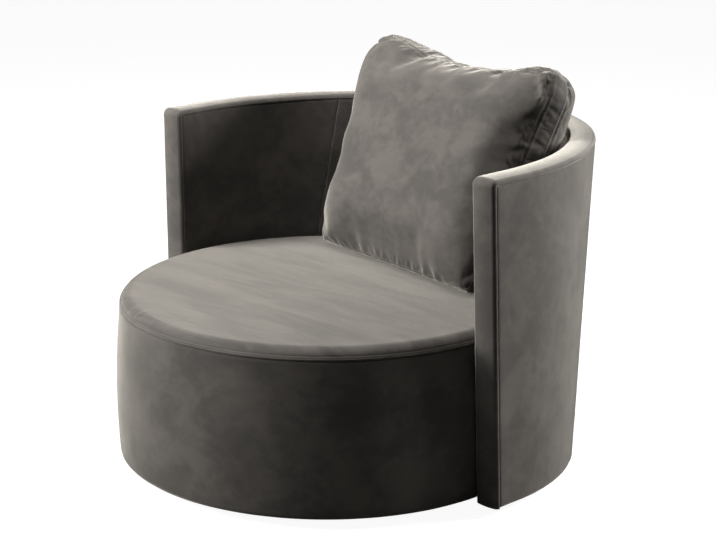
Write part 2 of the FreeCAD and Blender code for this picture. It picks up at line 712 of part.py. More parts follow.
def strap_profile(across, start):
    """Side view of one strap that lies at a distance from the seat's middle line."""
    tight = s.drum_radius - s.web_width / 2
    reach = sqrt(tight * tight - (abs(across) + s.web_width / 2) ** 2)
    ledge = sqrt(s.ring_inner * s.ring_inner - (abs(across) + s.web_width / 2) ** 2)
    flat = s.web_width / 2 + s.web_thickness
    low = s.ring_height
    upper = [(-reach, low), (-ledge, low)]
    for step in range(round(s.web_count)):
        middle = (step - (s.web_count - 1) / 2) * s.web_pitch
        rise = s.web_wave * (1 if (step + start) % 2 else -1)
        upper += [(middle - flat, low + rise), (middle + flat, low + rise)]
    upper += [(ledge, low), (reach, low)]
    return upper + [(along, height + s.web_thickness) for along, height in reversed(upper)]


def make_webbing():
    """Straps front to back and side to side."""
    for label, lengthwise in (("webbing_lengthwise", True), ("webbing_crosswise", False)):
        straps = []
        for row in range(round(s.web_count)):
            across = (row - (s.web_count - 1) / 2) * s.web_pitch
            near = across - s.web_width / 2
            profile = strap_profile(across, row + (1 if lengthwise else 0))
            if lengthwise:
                corners = [vec(near, along + s.drum_y, height) for along, height in profile]
                span = vec(s.web_width, 0, 0)
            else:
                corners = [vec(along, near + s.drum_y, height) for along, height in profile]
                span = vec(0, s.web_width, 0)
            face = Part.Face(Part.makePolygon(corners + corners[:1]))
            straps.append(face.extrude(span))
        solid(label, Part.makeCompound(straps))


# Upholstery of the seat, turned about the seat's own middle.

side_circle = Part.Circle(vec(s.seat_radius, 0, s.seam_height),
                          vec(s.seat_widest, 0, s.side_height),
                          vec(s.seat_foot, 0, s.foot_height))


def side_point(height, inset=0.0):
    """Point on the seat's side at a height, set inwards by a layer."""
    radius = side_circle.Radius
    rise = height - side_circle.Center.z
    return vec(side_circle.Center.x + sqrt(radius * radius - rise * rise) - inset, 0, height)


def side_edge(low, high, inset=0.0):
    """The bowed side of the seat between two heights."""
    return arc(*[side_point(height, inset) for height in (low, (low + high) / 2, high)])


def crown_edges(inset=0.0):
    """Shoulder and crown of the seat's top, from the seam to the middle."""
    seam = side_point(s.seam_height, inset)
    shoulder = s.shoulder_round - inset
    dip = radians(s.seam_dip)
    centre = seam - vec(cos(dip), 0, sin(dip)) * shoulder
    peak = s.seam_height + s.seat_crown - inset
    rise = peak - centre.z
    radius = (centre.x ** 2 + rise ** 2 - shoulder ** 2) / (2 * (rise - shoulder))
    middle = vec(0, 0, peak - radius)
    reach = centre - middle
    joint = centre + reach * (shoulder / reach.Length)
    turn = (seam - centre).normalize() + (joint - centre).normalize()
    bulge = centre + turn.normalize() * shoulder
    half = (joint - middle).normalize() + UP
    crest = middle + half.normalize() * radius
    return [arc(seam, bulge, joint), arc(joint, crest, vec(0, 0, peak))]


def turned(edges):
    """A solid turned about the seat's middle from a closed profile."""
    shape = Part.Face(Part.Wire(edges)).revolve(ORIGIN, UP, 360)
    return shape.translated(vec(0, s.drum_y, 0))


def foot_edge(inset):
    """Rounded lower edge of the seat's side."""
    radius = s.foot_round - inset
    start = side_point(s.foot_height, inset)
    centre = vec(start.x - radius, 0, s.foot_height)
    middle = start + vec(-radius * ROUND_MIDDLE, 0, -radius * (1 - ROUND_MIDDLE))
    end = centre + vec(0, 0, -radius)
    return arc(start, middle, end), end


def make_seat_upholstery():
    """Domed foam, side padding and the two covers that meet in the seam."""
    axis_low = vec(0, 0, s.foam_base)
    foam_edge = side_point(s.foam_base, s.cover)
    peak = vec(0, 0, s.seam_height + s.seat_crown - s.cover)
    foam = [side_edge(s.foam_base, s.seam_height, s.cover)] + crown_edges(s.cover)
    foam += [line(peak, axis_low), line(axis_low, foam_edge)]
    solid("seat_foam", turned(foam))

    inner_foot, end = foot_edge(s.cover)
    inner_low = vec(s.skin_outer, 0, s.skin_bottom)
    inner_high = vec(s.skin_outer, 0, s.foam_base)
    padding = [side_edge(s.foot_height, s.foam_base, s.cover), inner_foot, line(end, inner_low),
               line(inner_low, inner_high), line(inner_high, foam_edge)]
    solid("seat_side_padding", slotted(turned(padding)))

    outer_foot, outer_end = foot_edge(0)
    hem_low = vec(s.drum_radius, 0, s.underside)
    hem_high = vec(s.drum_radius, 0, s.skin_bottom)
    seam_outside = side_point(s.seam_height)
    seam_inside = side_point(s.seam_height, s.cover)
    side = [side_edge(s.foot_height, s.seam_height), outer_foot, line(outer_end, hem_low),
            line(hem_low, hem_high), line(hem_high, end), inner_foot,
            side_edge(s.foot_height, s.seam_height, s.cover), line(seam_inside, seam_outside)]
    solid("seat_side_cover", slotted(turned(side)))

    skin_peak = vec(0, 0, s.seam_height + s.seat_crown)
    top = crown_edges() + crown_edges(s.cover)
    top += [line(skin_peak, peak), line(seam_inside, seam_outside)]
    solid("seat_top_cover", turned(Part.__sortEdges__(top)))


def make_wall_frame():
    """Ribs, studs, arm posts and the two linings of the wall."""
    bolts = beam_bolt_places()
    rib = band(wall_base, s.beam_bottom, frame_face, frame_back, setback=front_face)
    solid("wall_bottom_rib", rib.cut(bolt_holes(bolts, s.beam_bottom - s.bolt_bite, s.beam_bottom)))
    post_back = front_face + s.stud_width
    low, high = s.middle_rib_height, s.middle_rib_height + s.rail_thickness
    solid("wall_middle_rib", band(low, high, frame_face, frame_back, setback=post_back))
    rail_low = frame_top - s.rail_thickness
    solid("wall_top_rail", band(rail_low, frame_top, frame_face, frame_back, setback=front_face))
    bend = min(wall_arcs(s.underside, frame_face)[2:])
    sagitta = bend - sqrt(bend * bend - s.stud_width ** 2 / 4)
    ease = frame_face + sagitta + s.rest_gap
    studs = []
    for angle in STUD_ANGLES:
        for floor, ceiling in ((s.beam_bottom, low), (high, rail_low)):
            stud = wall_block(floor, ceiling, ease, frame_back, angle, s.stud_width)
            studs.append(slotted(stud))
    solid("wall_studs", Part.makeCompound(studs))
    posts = [slotted(arm_block(s.beam_bottom, rail_low, frame_face, frame_back, front_face,
                               s.stud_width, side)) for side in (-1, 1)]
    solid("arm_posts", Part.makeCompound(posts))
    solid("outer_lining", band(wall_base, frame_top, lining_face, frame_face, setback=front_face))
    inner = band(wall_base, frame_top, frame_back, foam_face, setback=front_face)
    solid("inner_lining", slotted(inner))


def make_wall_upholstery():
    """Foam, wadding, covers, border strip and base cloth of the wall."""
    foam = band(wall_base, frame_top, foam_face, foam_back, setback=front_face)
    solid("inner_wall_foam", slotted(foam))
    solid("outer_wadding", band(wall_base, frame_top, padding_face, lining_face, setback=front_face))
    corner = s.arm_corner - s.cover
    rounding = s.rim_round - s.cover
    solid("rim_foam", rounded_band(frame_top, s.rim_height - s.cover, padding_face, foam_back,
                                   s.cover, corner, rounding))
    pads = [arm_block(wall_base, frame_top, padding_face, foam_back, s.cover, s.front_foam, side, corner)
            for side in (-1, 1)]
    solid("arm_front_foam", Part.makeCompound(pads))

    outside = rounded_band(border_low, s.rim_height, 0, s.wall, 0, s.arm_corner, s.rim_round)
    inside = rounded_band(border_low, s.rim_height - s.cover, padding_face, foam_back, s.cover,
                          corner, rounding)
    solid("border_rim", outside.cut(inside))
    strips = []
    for side in (-1, 1):
        strip = arm_block(s.underside, border_low, 0, s.wall, 0, s.border_wrap, side, s.arm_corner)
        core = arm_block(s.underside, border_low, padding_face, foam_back, s.cover, s.border_wrap,
                         side, corner)
        strips.append(strip.cut(core))
    solid("border_arm_fronts", Part.makeCompound(strips))

    seams = (RIGHT_FRONT, s.panel_seam_angle, 180 - s.panel_seam_angle, LEFT_FRONT)
    for face, out, back in (("outer", 0, s.cover), ("inner", foam_back, s.wall)):
        for side, first, last in zip(("right", "centre", "left"), seams, seams[1:]):
            panel = band(s.underside, border_low, out, back, setback=s.border_wrap,
                         first=first, last=last)
            solid(f"{face}_cover_{side}", slotted(panel) if face == "inner" else panel)
    solid("wall_base_cloth", band(s.underside, wall_base, padding_face, foam_back, setback=s.cover,
                                  corner=corner))


# Back cushion, drawn in its own frame: X across, Z up its height, Y through its thickness, with the
# origin in the middle of the bottom edge of the front panel.

def cushion_wire(depth, scale=1.0, inset=0.0):
    """Outline of the cushion at a depth, drawn in between its corners except along the bottom."""
    middle = s.cushion_height / 2
    grow = 1 - 2 * inset / s.cushion_height
    half_low = s.cushion_bottom / 2 * scale * grow
    half_high = s.cushion_top / 2 * scale * grow
    low = middle - middle * scale * grow
    high = middle + middle * scale * grow
    corners = [vec(-half_low, depth, low), vec(half_low, depth, low),
               vec(half_high, depth, high), vec(-half_high, depth, high)]
    radius = s.cushion_corner * scale
    draws = [0.0] + [s.cushion_draw * scale] * 3
    heart = vec(0, depth, middle)
    edges = []
    for index, corner in enumerate(corners):
        following = corners[(index + 1) % 4]
        before = corners[index - 1]
        to_next = (following - corner).normalize()
        to_last = (before - corner).normalize()
        bend = corner + (to_next + to_last) * (radius * ROUND_MIDDLE)
        leave = corner + to_next * radius
        edges.append(arc(corner + to_last * radius, bend, leave))
        arrive = following - to_next * radius
        middle_point = (leave + arrive) * 0.5
        inward = vec(to_next.z, 0, -to_next.x)
        if inward.dot(heart - middle_point) < 0:
            inward = inward * -1
        if draws[index]:
            edges.append(arc(leave, middle_point + inward * draws[index], arrive))
        else:
            edges.append(line(leave, arrive))
    return Part.Wire(edges)


# Shares of the outline's size and of the crown's height, from a panel's seam to its middle.
CROWN_STEPS = ((1, 0), (0.9, 0.5), (0.74, 0.78), (0.52, 0.94), (0.26, 1))


def cushion_dome(start, crown, inset=0.0):
    """The swell of one panel, outwards from the seam plane at a depth."""
    lift = crown - inset if crown > 0 else crown + inset
    wires = [cushion_wire(start + lift * share, scale, inset) for scale, share in CROWN_STEPS]
    return Part.makeLoft(wires, True, True)


def cushion_block(inset=0.0):
    """The strip between the two panels, as a solid."""
    wires = [cushion_wire(depth, 1, inset) for depth in (0, s.cushion_gusset)]
    return Part.makeLoft(wires, True, True)


def cushion_stand(behind, spin, crown):
    """Where the cushion's lower back edge rests on the seat's crown, at a distance behind its middle."""
    base = vec(s.cushion_side, behind + s.drum_y, 0)
    edge = s.cushion_bottom / 2 - s.cushion_corner
    middle = s.seam_height + s.seat_crown - crown.Radius
    heights = []
    for step in range(-10, 11):
        foot = base + spin.multVec(vec(edge * step / 10, s.cushion_gusset, 0))
        reach = hypot(foot.x, foot.y - s.drum_y)
        heights.append(middle + sqrt(crown.Radius ** 2 - reach ** 2) - foot.z)
    return base + UP * (max(heights) + s.rest_gap)


def cushion_place(back):
    """Stand the cushion on the seat, turned and leaning until its swollen back meets the wall."""
    turn = FreeCAD.Rotation(UP, s.cushion_turn)
    spin = turn.multiply(FreeCAD.Rotation(vec(1, 0, 0), -s.cushion_recline))
    crown = crown_edges()[1].Curve
    swell = [spin.multVec(point) for point in back.tessellate(s.rest_gap / 10)[0]]
    near, far = 0.0, s.seat_radius
    for halving in range(30):
        base = cushion_stand((near + far) / 2, spin, crown)
        beside = [base + point for point in swell if (base + point).z < s.rim_height]
        if min(wall_room(point) for point in beside) > 2 * s.rest_gap:
            near = (near + far) / 2
        else:
            far = (near + far) / 2
    return FreeCAD.Placement(base, spin)


def make_cushion():
    """Cover panels, side strip, filling, zip and slider of the loose cushion."""
    fold = s.cushion_cover
    front = cushion_dome(0, -s.cushion_front_crown)
    front_core = cushion_dome(0, -s.cushion_front_crown, fold)
    rear = cushion_dome(s.cushion_gusset, s.cushion_back_crown)
    rear_core = cushion_dome(s.cushion_gusset, s.cushion_back_crown, fold)
    at = cushion_place(rear)
    strip = cushion_block()
    strip_core = cushion_block(fold)
    solid("cushion_front_panel", front.cut(front_core), at)
    solid("cushion_back_panel", rear.cut(rear_core), at)
    solid("cushion_gusset", strip.cut(strip_core), at)
    solid("cushion_filling", front_core.fuse([strip_core, rear_core]), at)

    centre = s.cushion_gusset / 2
    tape = Part.makeBox(s.zip_length, s.zip_tape_width, s.zip_tape,
                        vec(-s.zip_length / 2, centre - s.zip_tape_width / 2, -s.zip_tape))
    teeth = Part.makeBox(s.zip_length, s.zip_teeth_width, s.zip_teeth,
                         vec(-s.zip_length / 2, centre - s.zip_teeth_width / 2, -s.zip_tape - s.zip_teeth))
    solid("cushion_zip", tape.fuse(teeth), at)

    around = s.slider_ease + s.slider_wall
    width = s.zip_teeth_width + 2 * around
    height = s.zip_teeth + around - s.slider_ease
    left = -s.zip_length / 2
    low = -s.zip_tape - s.slider_ease - height
    body = Part.makeBox(s.slider_length, width, height, vec(left, centre - width / 2, low))
    channel = Part.makeBox(s.slider_length, s.zip_teeth_width + 2 * s.slider_ease, height,
                           vec(left, centre - s.zip_teeth_width / 2 - s.slider_ease, low + s.slider_wall))
    tab = Part.makeBox(s.pull_length, s.zip_teeth_width, s.slider_wall,
                       vec(left, centre - s.zip_teeth_width / 2, low - s.slider_wall))
    solid("zip_slider", body.cut(channel).fuse(tab), at)


make_base()
make_ball_ring()
make_seat_frame()
make_webbing()
make_seat_upholstery()
make_wall_frame()
make_wall_upholstery()
make_cushion()
doc.recompute()

for thing in doc.Objects:
    if "Invalid" in thing.State or "Error" in thing.State:
        raise RuntimeError(f"{thing.Label} failed to build")
for node in nodes:
    if node.Shape.isNull() or not node.Shape.isValid() or not node.Shape.Solids:
        raise RuntimeError(f"{node.Label} has no valid solid")

os.makedirs("parts", exist_ok=True)
for node in nodes:
    node.Shape.exportStep(f"parts/{node.Label}.step")
box = Part.makeCompound([node.Shape for node in nodes]).BoundBox
print(f"{len(nodes)} nodes, {box.XLength:.1f} x {box.YLength:.1f} x {box.ZLength:.1f} mm")
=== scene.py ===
import json
from math import atan2, ceil, cos, degrees, hypot, pi, radians, sin, sqrt

import bmesh
import bpy
from bpy.props import FloatProperty, FloatVectorProperty, PointerProperty
from mathutils import Matrix, Vector, noise
from mathutils.bvhtree import BVHTree
from mathutils.kdtree import KDTree


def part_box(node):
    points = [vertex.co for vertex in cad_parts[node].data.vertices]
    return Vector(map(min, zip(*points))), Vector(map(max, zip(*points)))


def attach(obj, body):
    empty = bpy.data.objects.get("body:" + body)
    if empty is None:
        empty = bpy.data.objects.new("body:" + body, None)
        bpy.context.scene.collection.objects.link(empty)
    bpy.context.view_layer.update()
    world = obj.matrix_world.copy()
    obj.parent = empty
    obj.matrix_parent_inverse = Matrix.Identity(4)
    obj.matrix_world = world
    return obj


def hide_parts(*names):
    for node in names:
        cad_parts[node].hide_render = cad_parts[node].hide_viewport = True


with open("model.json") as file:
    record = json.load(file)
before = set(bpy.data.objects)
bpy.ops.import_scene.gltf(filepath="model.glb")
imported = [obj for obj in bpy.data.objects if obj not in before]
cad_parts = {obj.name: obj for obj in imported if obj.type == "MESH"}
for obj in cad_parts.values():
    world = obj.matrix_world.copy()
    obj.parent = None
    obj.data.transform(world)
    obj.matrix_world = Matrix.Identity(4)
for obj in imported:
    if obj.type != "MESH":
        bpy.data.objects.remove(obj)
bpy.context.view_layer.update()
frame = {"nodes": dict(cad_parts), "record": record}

bl_info = {
    "name": "Round cuddle chair",
    "version": (1, 0, 0),
    "blender": (4, 5, 0),
    "location": "View3D > Sidebar > Cuddle Chair",
    "description": "Velvet covers, loose back cushion, stitching and studio for a round cuddle chair",
    "category": "Object",
}


# Fixed numbers that several pieces share

# The straight arm counts as this many degrees of turn, and a degree is about this long.
ARM_TURN = 8
DEGREE = 0.0103
# Stitches are made this many at a time, which is quicker than all in one mesh.
STITCH_BATCH = 40
# A cover's lower edge stays this far above the underside.
FOOT_GAP = 0.0006
# The shoulder of the seat meets its seam at this slope.
SHOULDER_LEAN = radians(20)
# Where the seat's webbing ends the top pad.
WEBBING_TOP = 0.3444
# The cushion's rings: share of its outline, and share of its crown.
CROWN_STEPS = ((1, 0), (0.98, 0.30), (0.93, 0.62), (0.84, 0.84), (0.68, 0.96), (0.4, 1))
# How many points trace the cushion's seams when distances to them are measured.
SEAM_POINTS = 900
# Width over which the cushion's gathers fade out.
GATHER_FADE = 0.045
# How many frames the filling takes to swell, and how the velvet on it behaves as cloth.
FILL_FRAMES = 20
VELVET_CLOTH = {
    "quality": 6, "mass": 0.4, "tension_stiffness": 18, "compression_stiffness": 18, "shear_stiffness": 8,
    "bending_stiffness": 0.4, "use_pressure": True, "uniform_pressure_force": 4, "shrink_min": -0.03,
    "shrink_max": 0.0,
}


# Sizes and colours that a user would change

def size(label, note, value):
    """A length in metres that a user may change."""
    return FloatProperty(name=label, description=note, default=value, unit="LENGTH", precision=4)


def angle(label, note, value):
    """An angle that a user may change, given in degrees."""
    return FloatProperty(name=label, description=note, default=radians(value), unit="ROTATION")


def linear(hex_colour):
    """Turn an sRGB hex colour into linear red, green and blue."""
    shares = [int(hex_colour[i:i + 2], 16) / 255 for i in (1, 3, 5)]
    return [c / 12.92 if c <= 0.04045 else ((c + 0.055) / 1.055) ** 2.4 for c in shares]


def colour(label, note, hex_colour):
    """A colour that a user may change, given as sRGB hex."""
    return FloatVectorProperty(name=label, description=note, default=linear(hex_colour), size=3,
                               min=0, max=1, subtype="COLOR")


class SeatSizes(bpy.types.PropertyGroup):
    middle_y: size("Middle", "Place of the seat's middle, front to back", -0.0835)
    underside: size("Underside", "Height of the seat's lower edge", 0.02)
    foot: size("Foot height", "Height where the lower edge starts to round", 0.036)
    seam: size("Seam height", "Height of the seam round the top", 0.405)
    crown: size("Crown", "Rise of the top over the seam", 0.033)
    seam_radius: size("Seam radius", "Radius at the seam", 0.5202)
    widest_radius: size("Widest radius", "Radius half way up the side", 0.533)
    foot_radius: size("Foot radius", "Radius at the foot", 0.53)
    drum_radius: size("Drum radius", "Radius of the drum under the side padding", 0.5052)
    shoulder: size("Shoulder", "Rounding between top and seam", 0.038)
    lap: size("Lap", "Width of the top cover's folded lap at the seam", 0.010)
    groove: size("Groove", "Depth of the groove under the lap", 0.0022)


class WallSizes(bpy.types.PropertyGroup):
    half_bottom: size("Half width below", "Half width at the underside", 0.606)
    half_top: size("Half width above", "Half width at the rim", 0.590)
    back_bottom: size("Back below", "Seat's middle to the back at the underside", 0.598)
    back_top: size("Back above", "Seat's middle to the back at the rim", 0.710)
    straight: size("Straight arm", "Straight run of the arm behind the seat's middle", 0.05)
    reach_bottom: size("Reach below", "Arm in front of the seat's middle at the underside", 0.033)
    reach_top: size("Reach above", "Arm in front of the seat's middle at the rim", 0.049)
    rim: size("Rim height", "Height of the rim", 0.805)
    thickness: size("Thickness", "Thickness of the wall", 0.068)
    outer_pad: size("Outer pad", "Thickness of cover and wadding outside", 0.0065)
    inner_pad: size("Inner pad", "Thickness of cover and foam inside", 0.020)
    seam_turn: angle("Panel seam", "Upright seams, from the middle of the back", 55)
    seam_depth: size("Seam depth", "How deep the covers are pulled in at their seams", 0.0024)
    seam_roll: size("Seam roll", "Width of the rounding beside a seam", 0.009)
    foot_roll: size("Foot roll", "Rounding at the lower edge", 0.008)


class BorderSizes(bpy.types.PropertyGroup):
    drop: size("Drop", "Depth of the border's edge under the rim", 0.013)
    rounding: size("Rounding", "Rounding of the border's two edges", 0.011)
    corner: size("Corner", "Rounding of the border where arm front and rim meet", 0.018)
    crown: size("Crown", "Swell of the border between its seams", 0.0022)
    pad: size("Pad", "Thickness of cover and foam under it", 0.005)


class CushionSizes(bpy.types.PropertyGroup):
    place: FloatVectorProperty(name="Place", description="Middle of the bottom front edge",
                               default=(0.040, 0.1194, 0.4588), size=3, subtype="TRANSLATION")
    settle: FloatVectorProperty(name="Settle", description="How the soft cushion slumps towards the back",
                                default=(-0.028, 0.0060, -0.0054), size=3, subtype="TRANSLATION")
    turn: angle("Turn", "Turn about the vertical", -8)
    recline: angle("Recline", "Lean against the back", 24)
    top: size("Top", "Width over the upper corners", 0.748)
    bottom: size("Bottom", "Width over the lower corners", 0.640)
    height: size("Height", "Height between corners", 0.574)
    strip: size("Strip", "Width of the side strip", 0.056)
    front_crown: size("Front crown", "Swell of the front", 0.062)
    back_crown: size("Back crown", "Swell of the back", 0.110)
    flatness: FloatProperty(name="Start crown", description="Share of the crowns at first", default=0.85)
    draw: size("Draw", "How far the top pulls in between corners", 0.022)
    side_draw: size("Side draw", "How far the sides pull in between corners", -0.006)
    corner: size("Corner", "Rounding of the corners", 0.018)
    voxel: size("Voxel", "Size of the cloth's first grid", 0.0065)
    shrink: size("Start inset", "How much smaller the cushion is before it is filled", 0.001)
    cap: size("Cap", "Furthest that the filling may push a point", 0.026)
    zip_length: size("Zip length", "Length of the zip", 0.46)
    zip_tape: size("Zip tape", "Width of the zip's tape", 0.026)
    zip_ease: size("Zip ease", "Free space beside the zip in its well", 0.008)
    slump: size("Slump", "Height over which the bottom slumps onto the seat", 0.14)
    slump_share: FloatProperty(name="Slump share", description="How far it slumps, of its height there",
                               default=0.45)
    lean: size("Lean", "How far the top leans to the left arm", 0.013)


class StitchSizes(bpy.types.PropertyGroup):
    pitch: size("Pitch", "One stitch to the next", 0.0048)
    length: size("Length", "Length of a stitch", 0.0036)
    thread: size("Thread", "Thickness of the thread", 0.0009)
    first_row: size("First row", "Seam to the first row", 0.0030)
    second_row: size("Second row", "Seam to the second row", 0.0085)


class Finishes(bpy.types.PropertyGroup):
    # Painted shade and painted sheen: these two base colours stand for pile that leans away from the eye or
    # towards it, and are painted as fixed patches.
    velvet_painted_shade: colour("Velvet, brushed down", "Pile that leans away from the eye", "#383532")
    velvet_painted_sheen: colour("Velvet, brushed up", "Pile that leans to the eye", "#46423E")
    velvet_sheen: colour("Velvet sheen", "Light on the tips of the pile", "#CFCABF")
    thread: colour("Thread", "Topstitching", "#6A655E")


class StudioSizes(bpy.types.PropertyGroup):
    azimuth: angle("Azimuth", "Camera's turn round the chair", 46.278)
    elevation: angle("Elevation", "Camera's height over the seat", 15.685)
    distance: size("Distance", "Camera to the seat's lower edge", 5.09617)
    across: size("Across", "Camera's shift to the right", 0.07256)
    up: size("Up", "Camera's shift upwards", 0.43499)
    lens: FloatProperty(name="Lens", description="Focal length in millimetres", default=100.56)
    key_power: FloatProperty(name="Key light", description="Power of the left light in watts", default=215)
    top_power: FloatProperty(name="Top light", description="Power of the top light in watts", default=140)
    side_power: FloatProperty(name="Side light", description="Power of the right light in watts", default=260)
    sky: FloatProperty(name="Sky", description="Strength of the light from all round", default=0.03)


GROUPS = {
    "chair_seat": SeatSizes,
    "chair_wall": WallSizes,
    "chair_border": BorderSizes,
    "chair_cushion": CushionSizes,
    "chair_stitches": StitchSizes,
    "chair_finishes": Finishes,
    "chair_studio": StudioSizes,
}


# Small helpers

def add_node(material, kind, settings=None, sockets=None):
    """Add a node to a material, with its settings and with values or links for its sockets."""
    tree = material.node_tree
    node = tree.nodes.new(kind)
    for name, value in (settings or {}).items():
        setattr(node, name, value)
    for name, value in (sockets or {}).items():
        if isinstance(value, bpy.types.NodeSocket):
            tree.links.new(value, node.inputs[name])
        else:
            node.inputs[name].default_value = value
    return node


def opaque(rgb):
    """A colour with full opacity."""
    return (*rgb, 1.0)


def smooth(share):
    """Ease a share between 0 and 1 in and out."""
    share = min(max(share, 0.0), 1.0)
    return share * share * (3 - 2 * share)


def crowded(share):
    """Crowd the lines of a grid towards both of its ends."""
    return 0.15 * share + 0.85 * smooth(share)


def ripple(point, length):
    """Even, seedless unevenness of a surface, about -1 to 1 over a length."""
    return noise.noise(Vector(point) / length)


def seam_dip(distance, depth, width):
    """How deep a cover lies at a distance from the seam that pulls it in."""
    if distance >= width:
        return 0.0
    left = 1 - max(distance, 0.0) / width
    return depth * (1 - sqrt(max(1 - left * left, 0.0)))


def finish_piece(name, bm, material, body, nodes=()):
    """Make a piece from a bmesh, riding on a body and standing for CAD nodes."""
    mesh = bpy.data.meshes.new(name)
    bm.to_mesh(mesh)
    bm.free()
    mesh.shade_smooth()
    piece = bpy.data.objects.new(name, mesh)
    bpy.context.scene.collection.objects.link(piece)
    mesh.materials.append(material)
    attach(piece, body)
    if nodes:
        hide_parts(*nodes)
    return piece


def thicken(piece, thickness):
    """Give a shell its thickness, inwards."""
    solidify = piece.modifiers.new("Thickness", "SOLIDIFY")
    solidify.thickness = thickness
    solidify.offset = -1
    solidify.use_even_offset = False


def mapped_grid(columns, rows, place):
    """A grid whose points are placed by their shares of its width and height."""
    bm = bmesh.new()
    bmesh.ops.create_grid(bm, x_segments=columns, y_segments=rows, size=0.5)
    for vert in bm.verts:
        vert.co = place(vert.co.x + 0.5, vert.co.y + 0.5)
    return bm


def turned(profile, steps):
    """Spin a profile of radii and heights into a closed ring or dome."""
    bm = bmesh.new()
    verts = [bm.verts.new((radius, 0, height)) for radius, height in profile]
    edges = [bm.edges.new(pair) for pair in zip(verts, verts[1:])]
    if profile[0][0] > 0:
        edges.append(bm.edges.new((verts[-1], verts[0])))
    bmesh.ops.spin(bm, geom=verts + edges, cent=(0, 0, 0), axis=(0, 0, 1), angle=2 * pi, steps=steps,
                   use_merge=True)
    bmesh.ops.remove_doubles(bm, verts=bm.verts, dist=1e-6)
    bmesh.ops.recalc_face_normals(bm, faces=bm.faces)
    return bm


def stitch_rows(name, rows, body, material):
    """Rows of stitches, each row a list of points with the cover's outward direction."""
    sizes = bpy.context.scene.chair_stitches
    whole, part, count = bmesh.new(), bmesh.new(), 0
    shape = Matrix.Diagonal((sizes.length / 2, sizes.thread / 2, sizes.thread / 2, 1))
    for row in rows:
        left = 0.0
        for (here, up), (there, _) in zip(row, row[1:]):
            run = there - here
            while left < run.length:
                along = run.normalized()
                across = up.cross(along).normalized()
                turn = Matrix((along, across, along.cross(across))).transposed().to_4x4()
                place = Matrix.Translation(here + along * left) @ turn @ shape
                bmesh.ops.create_uvsphere(part, u_segments=6, v_segments=4, radius=1, matrix=place)
                left += sizes.pitch
                count += 1
                if count % STITCH_BATCH == 0:
                    move_into(whole, part)
            left -= run.length
    move_into(whole, part)
    part.free()
    return finish_piece(name, whole, material, body)


def move_into(whole, part):
    """Empty one bmesh into another."""
    mesh = bpy.data.meshes.new("batch")
    part.to_mesh(mesh)
    whole.from_mesh(mesh)
    part.clear()
    bpy.data.meshes.remove(mesh)


# The wall's plan

def wall_plan(height, inset):
    """Half width, depth of the back, side and rear radius of the wall's plan at a height and inset."""
    wall = bpy.context.scene.chair_wall
    seat = bpy.context.scene.chair_seat
    rise = (height - seat.underside) / (wall.rim - seat.underside)
    half = wall.half_bottom + (wall.half_top - wall.half_bottom) * rise - inset
    back = wall.back_bottom + (wall.back_top - wall.back_bottom) * rise - inset
    lever = 1 / (sqrt(2) - 1)
    rear = (lever * half - back + wall.straight) / (lever - 1)
    side = (half - rear * sqrt(0.5)) / (1 - sqrt(0.5))
    return half, back, side, rear


def arm_reach(height):
    """How far the arm's front stands before the seat's middle at a height."""
    wall = bpy.context.scene.chair_wall
    seat = bpy.context.scene.chair_seat
    rise = (height - seat.underside) / (wall.rim - seat.underside)
    return wall.reach_bottom + (wall.reach_top - wall.reach_bottom) * rise


def wall_point(turn, height, inset, short=0.0):
    """A point of the wall. The turn is in degrees from the back; past 90 it runs along the arm to 98."""
    wall = bpy.context.scene.chair_wall
    half, back, side, rear = wall_plan(height, inset)
    bend = radians(min(abs(turn), 90))
    if bend <= pi / 4:
        x, y = rear * sin(bend), back - rear + rear * cos(bend)
    else:
        x, y = half - side + side * sin(bend), wall.straight + side * cos(bend)
    share = max(abs(turn) - 90, 0) / ARM_TURN
    y -= share * (wall.straight + arm_reach(height) - short)
    middle = bpy.context.scene.chair_seat.middle_y
    return Vector((x if turn >= 0 else -x, y + middle, height))


def wall_panel(name, turns, outside, nodes, material):
    """A padded cover of the wall between two turns, pulled in at its seams."""
    scene = bpy.context.scene
    wall, seat, border = scene.chair_wall, scene.chair_seat, scene.chair_border
    low, high = seat.underside + FOOT_GAP, wall.rim - border.drop
    first, last = turns

    def place(across, up):
        turn = first + (last - first) * crowded(across)
        height = low + (high - low) * crowded(up)
        from_seam = min(abs(turn - first), abs(turn - last)) * DEGREE
        dip = max(seam_dip(from_seam, wall.seam_depth, wall.seam_roll),
                  seam_dip(high - height, wall.seam_depth, wall.seam_roll),
                  seam_dip(height - low, wall.foot_roll, wall.foot_roll))
        point = wall_point(turn, height, 0, border.drop)
        slack = 0.0005 * (1 + ripple(point, 0.11)) + 0.0004 * (1 + ripple(point, 0.035))
        dip += slack * smooth(from_seam / 0.05)
        inset = dip if outside else wall.thickness - dip
        return wall_point(turn, height, inset, border.drop)

    columns = max(60, ceil(abs(last - first) * 2))
    bm = mapped_grid(columns, 110, place)
    piece = finish_piece(name, bm, material, "seat", nodes)
    thicken(piece, wall.outer_pad if outside else wall.inner_pad)
    return piece


# The border over the rim and down the arm fronts

def border_path():
    """Places along the border: up one arm front, round the rim and down the other arm front."""
    scene = bpy.context.scene
    low, top = scene.chair_seat.underside + FOOT_GAP, scene.chair_wall.rim - scene.chair_border.corner
    rise = [("arm", low + (top - low) * step / 90) for step in range(90)]
    bend = [("corner", step * 7.5) for step in range(12)]
    start = 90 + ARM_TURN
    rim = [("rim", start - 2 * start * step / 420) for step in range(421)]
    right = [(kind, 1, value) for kind, value in rise + bend]
    left = [(kind, -1, value) for kind, value in reversed(rise + bend)]
    return right + [("rim", 1, value) for kind, value in rim] + left


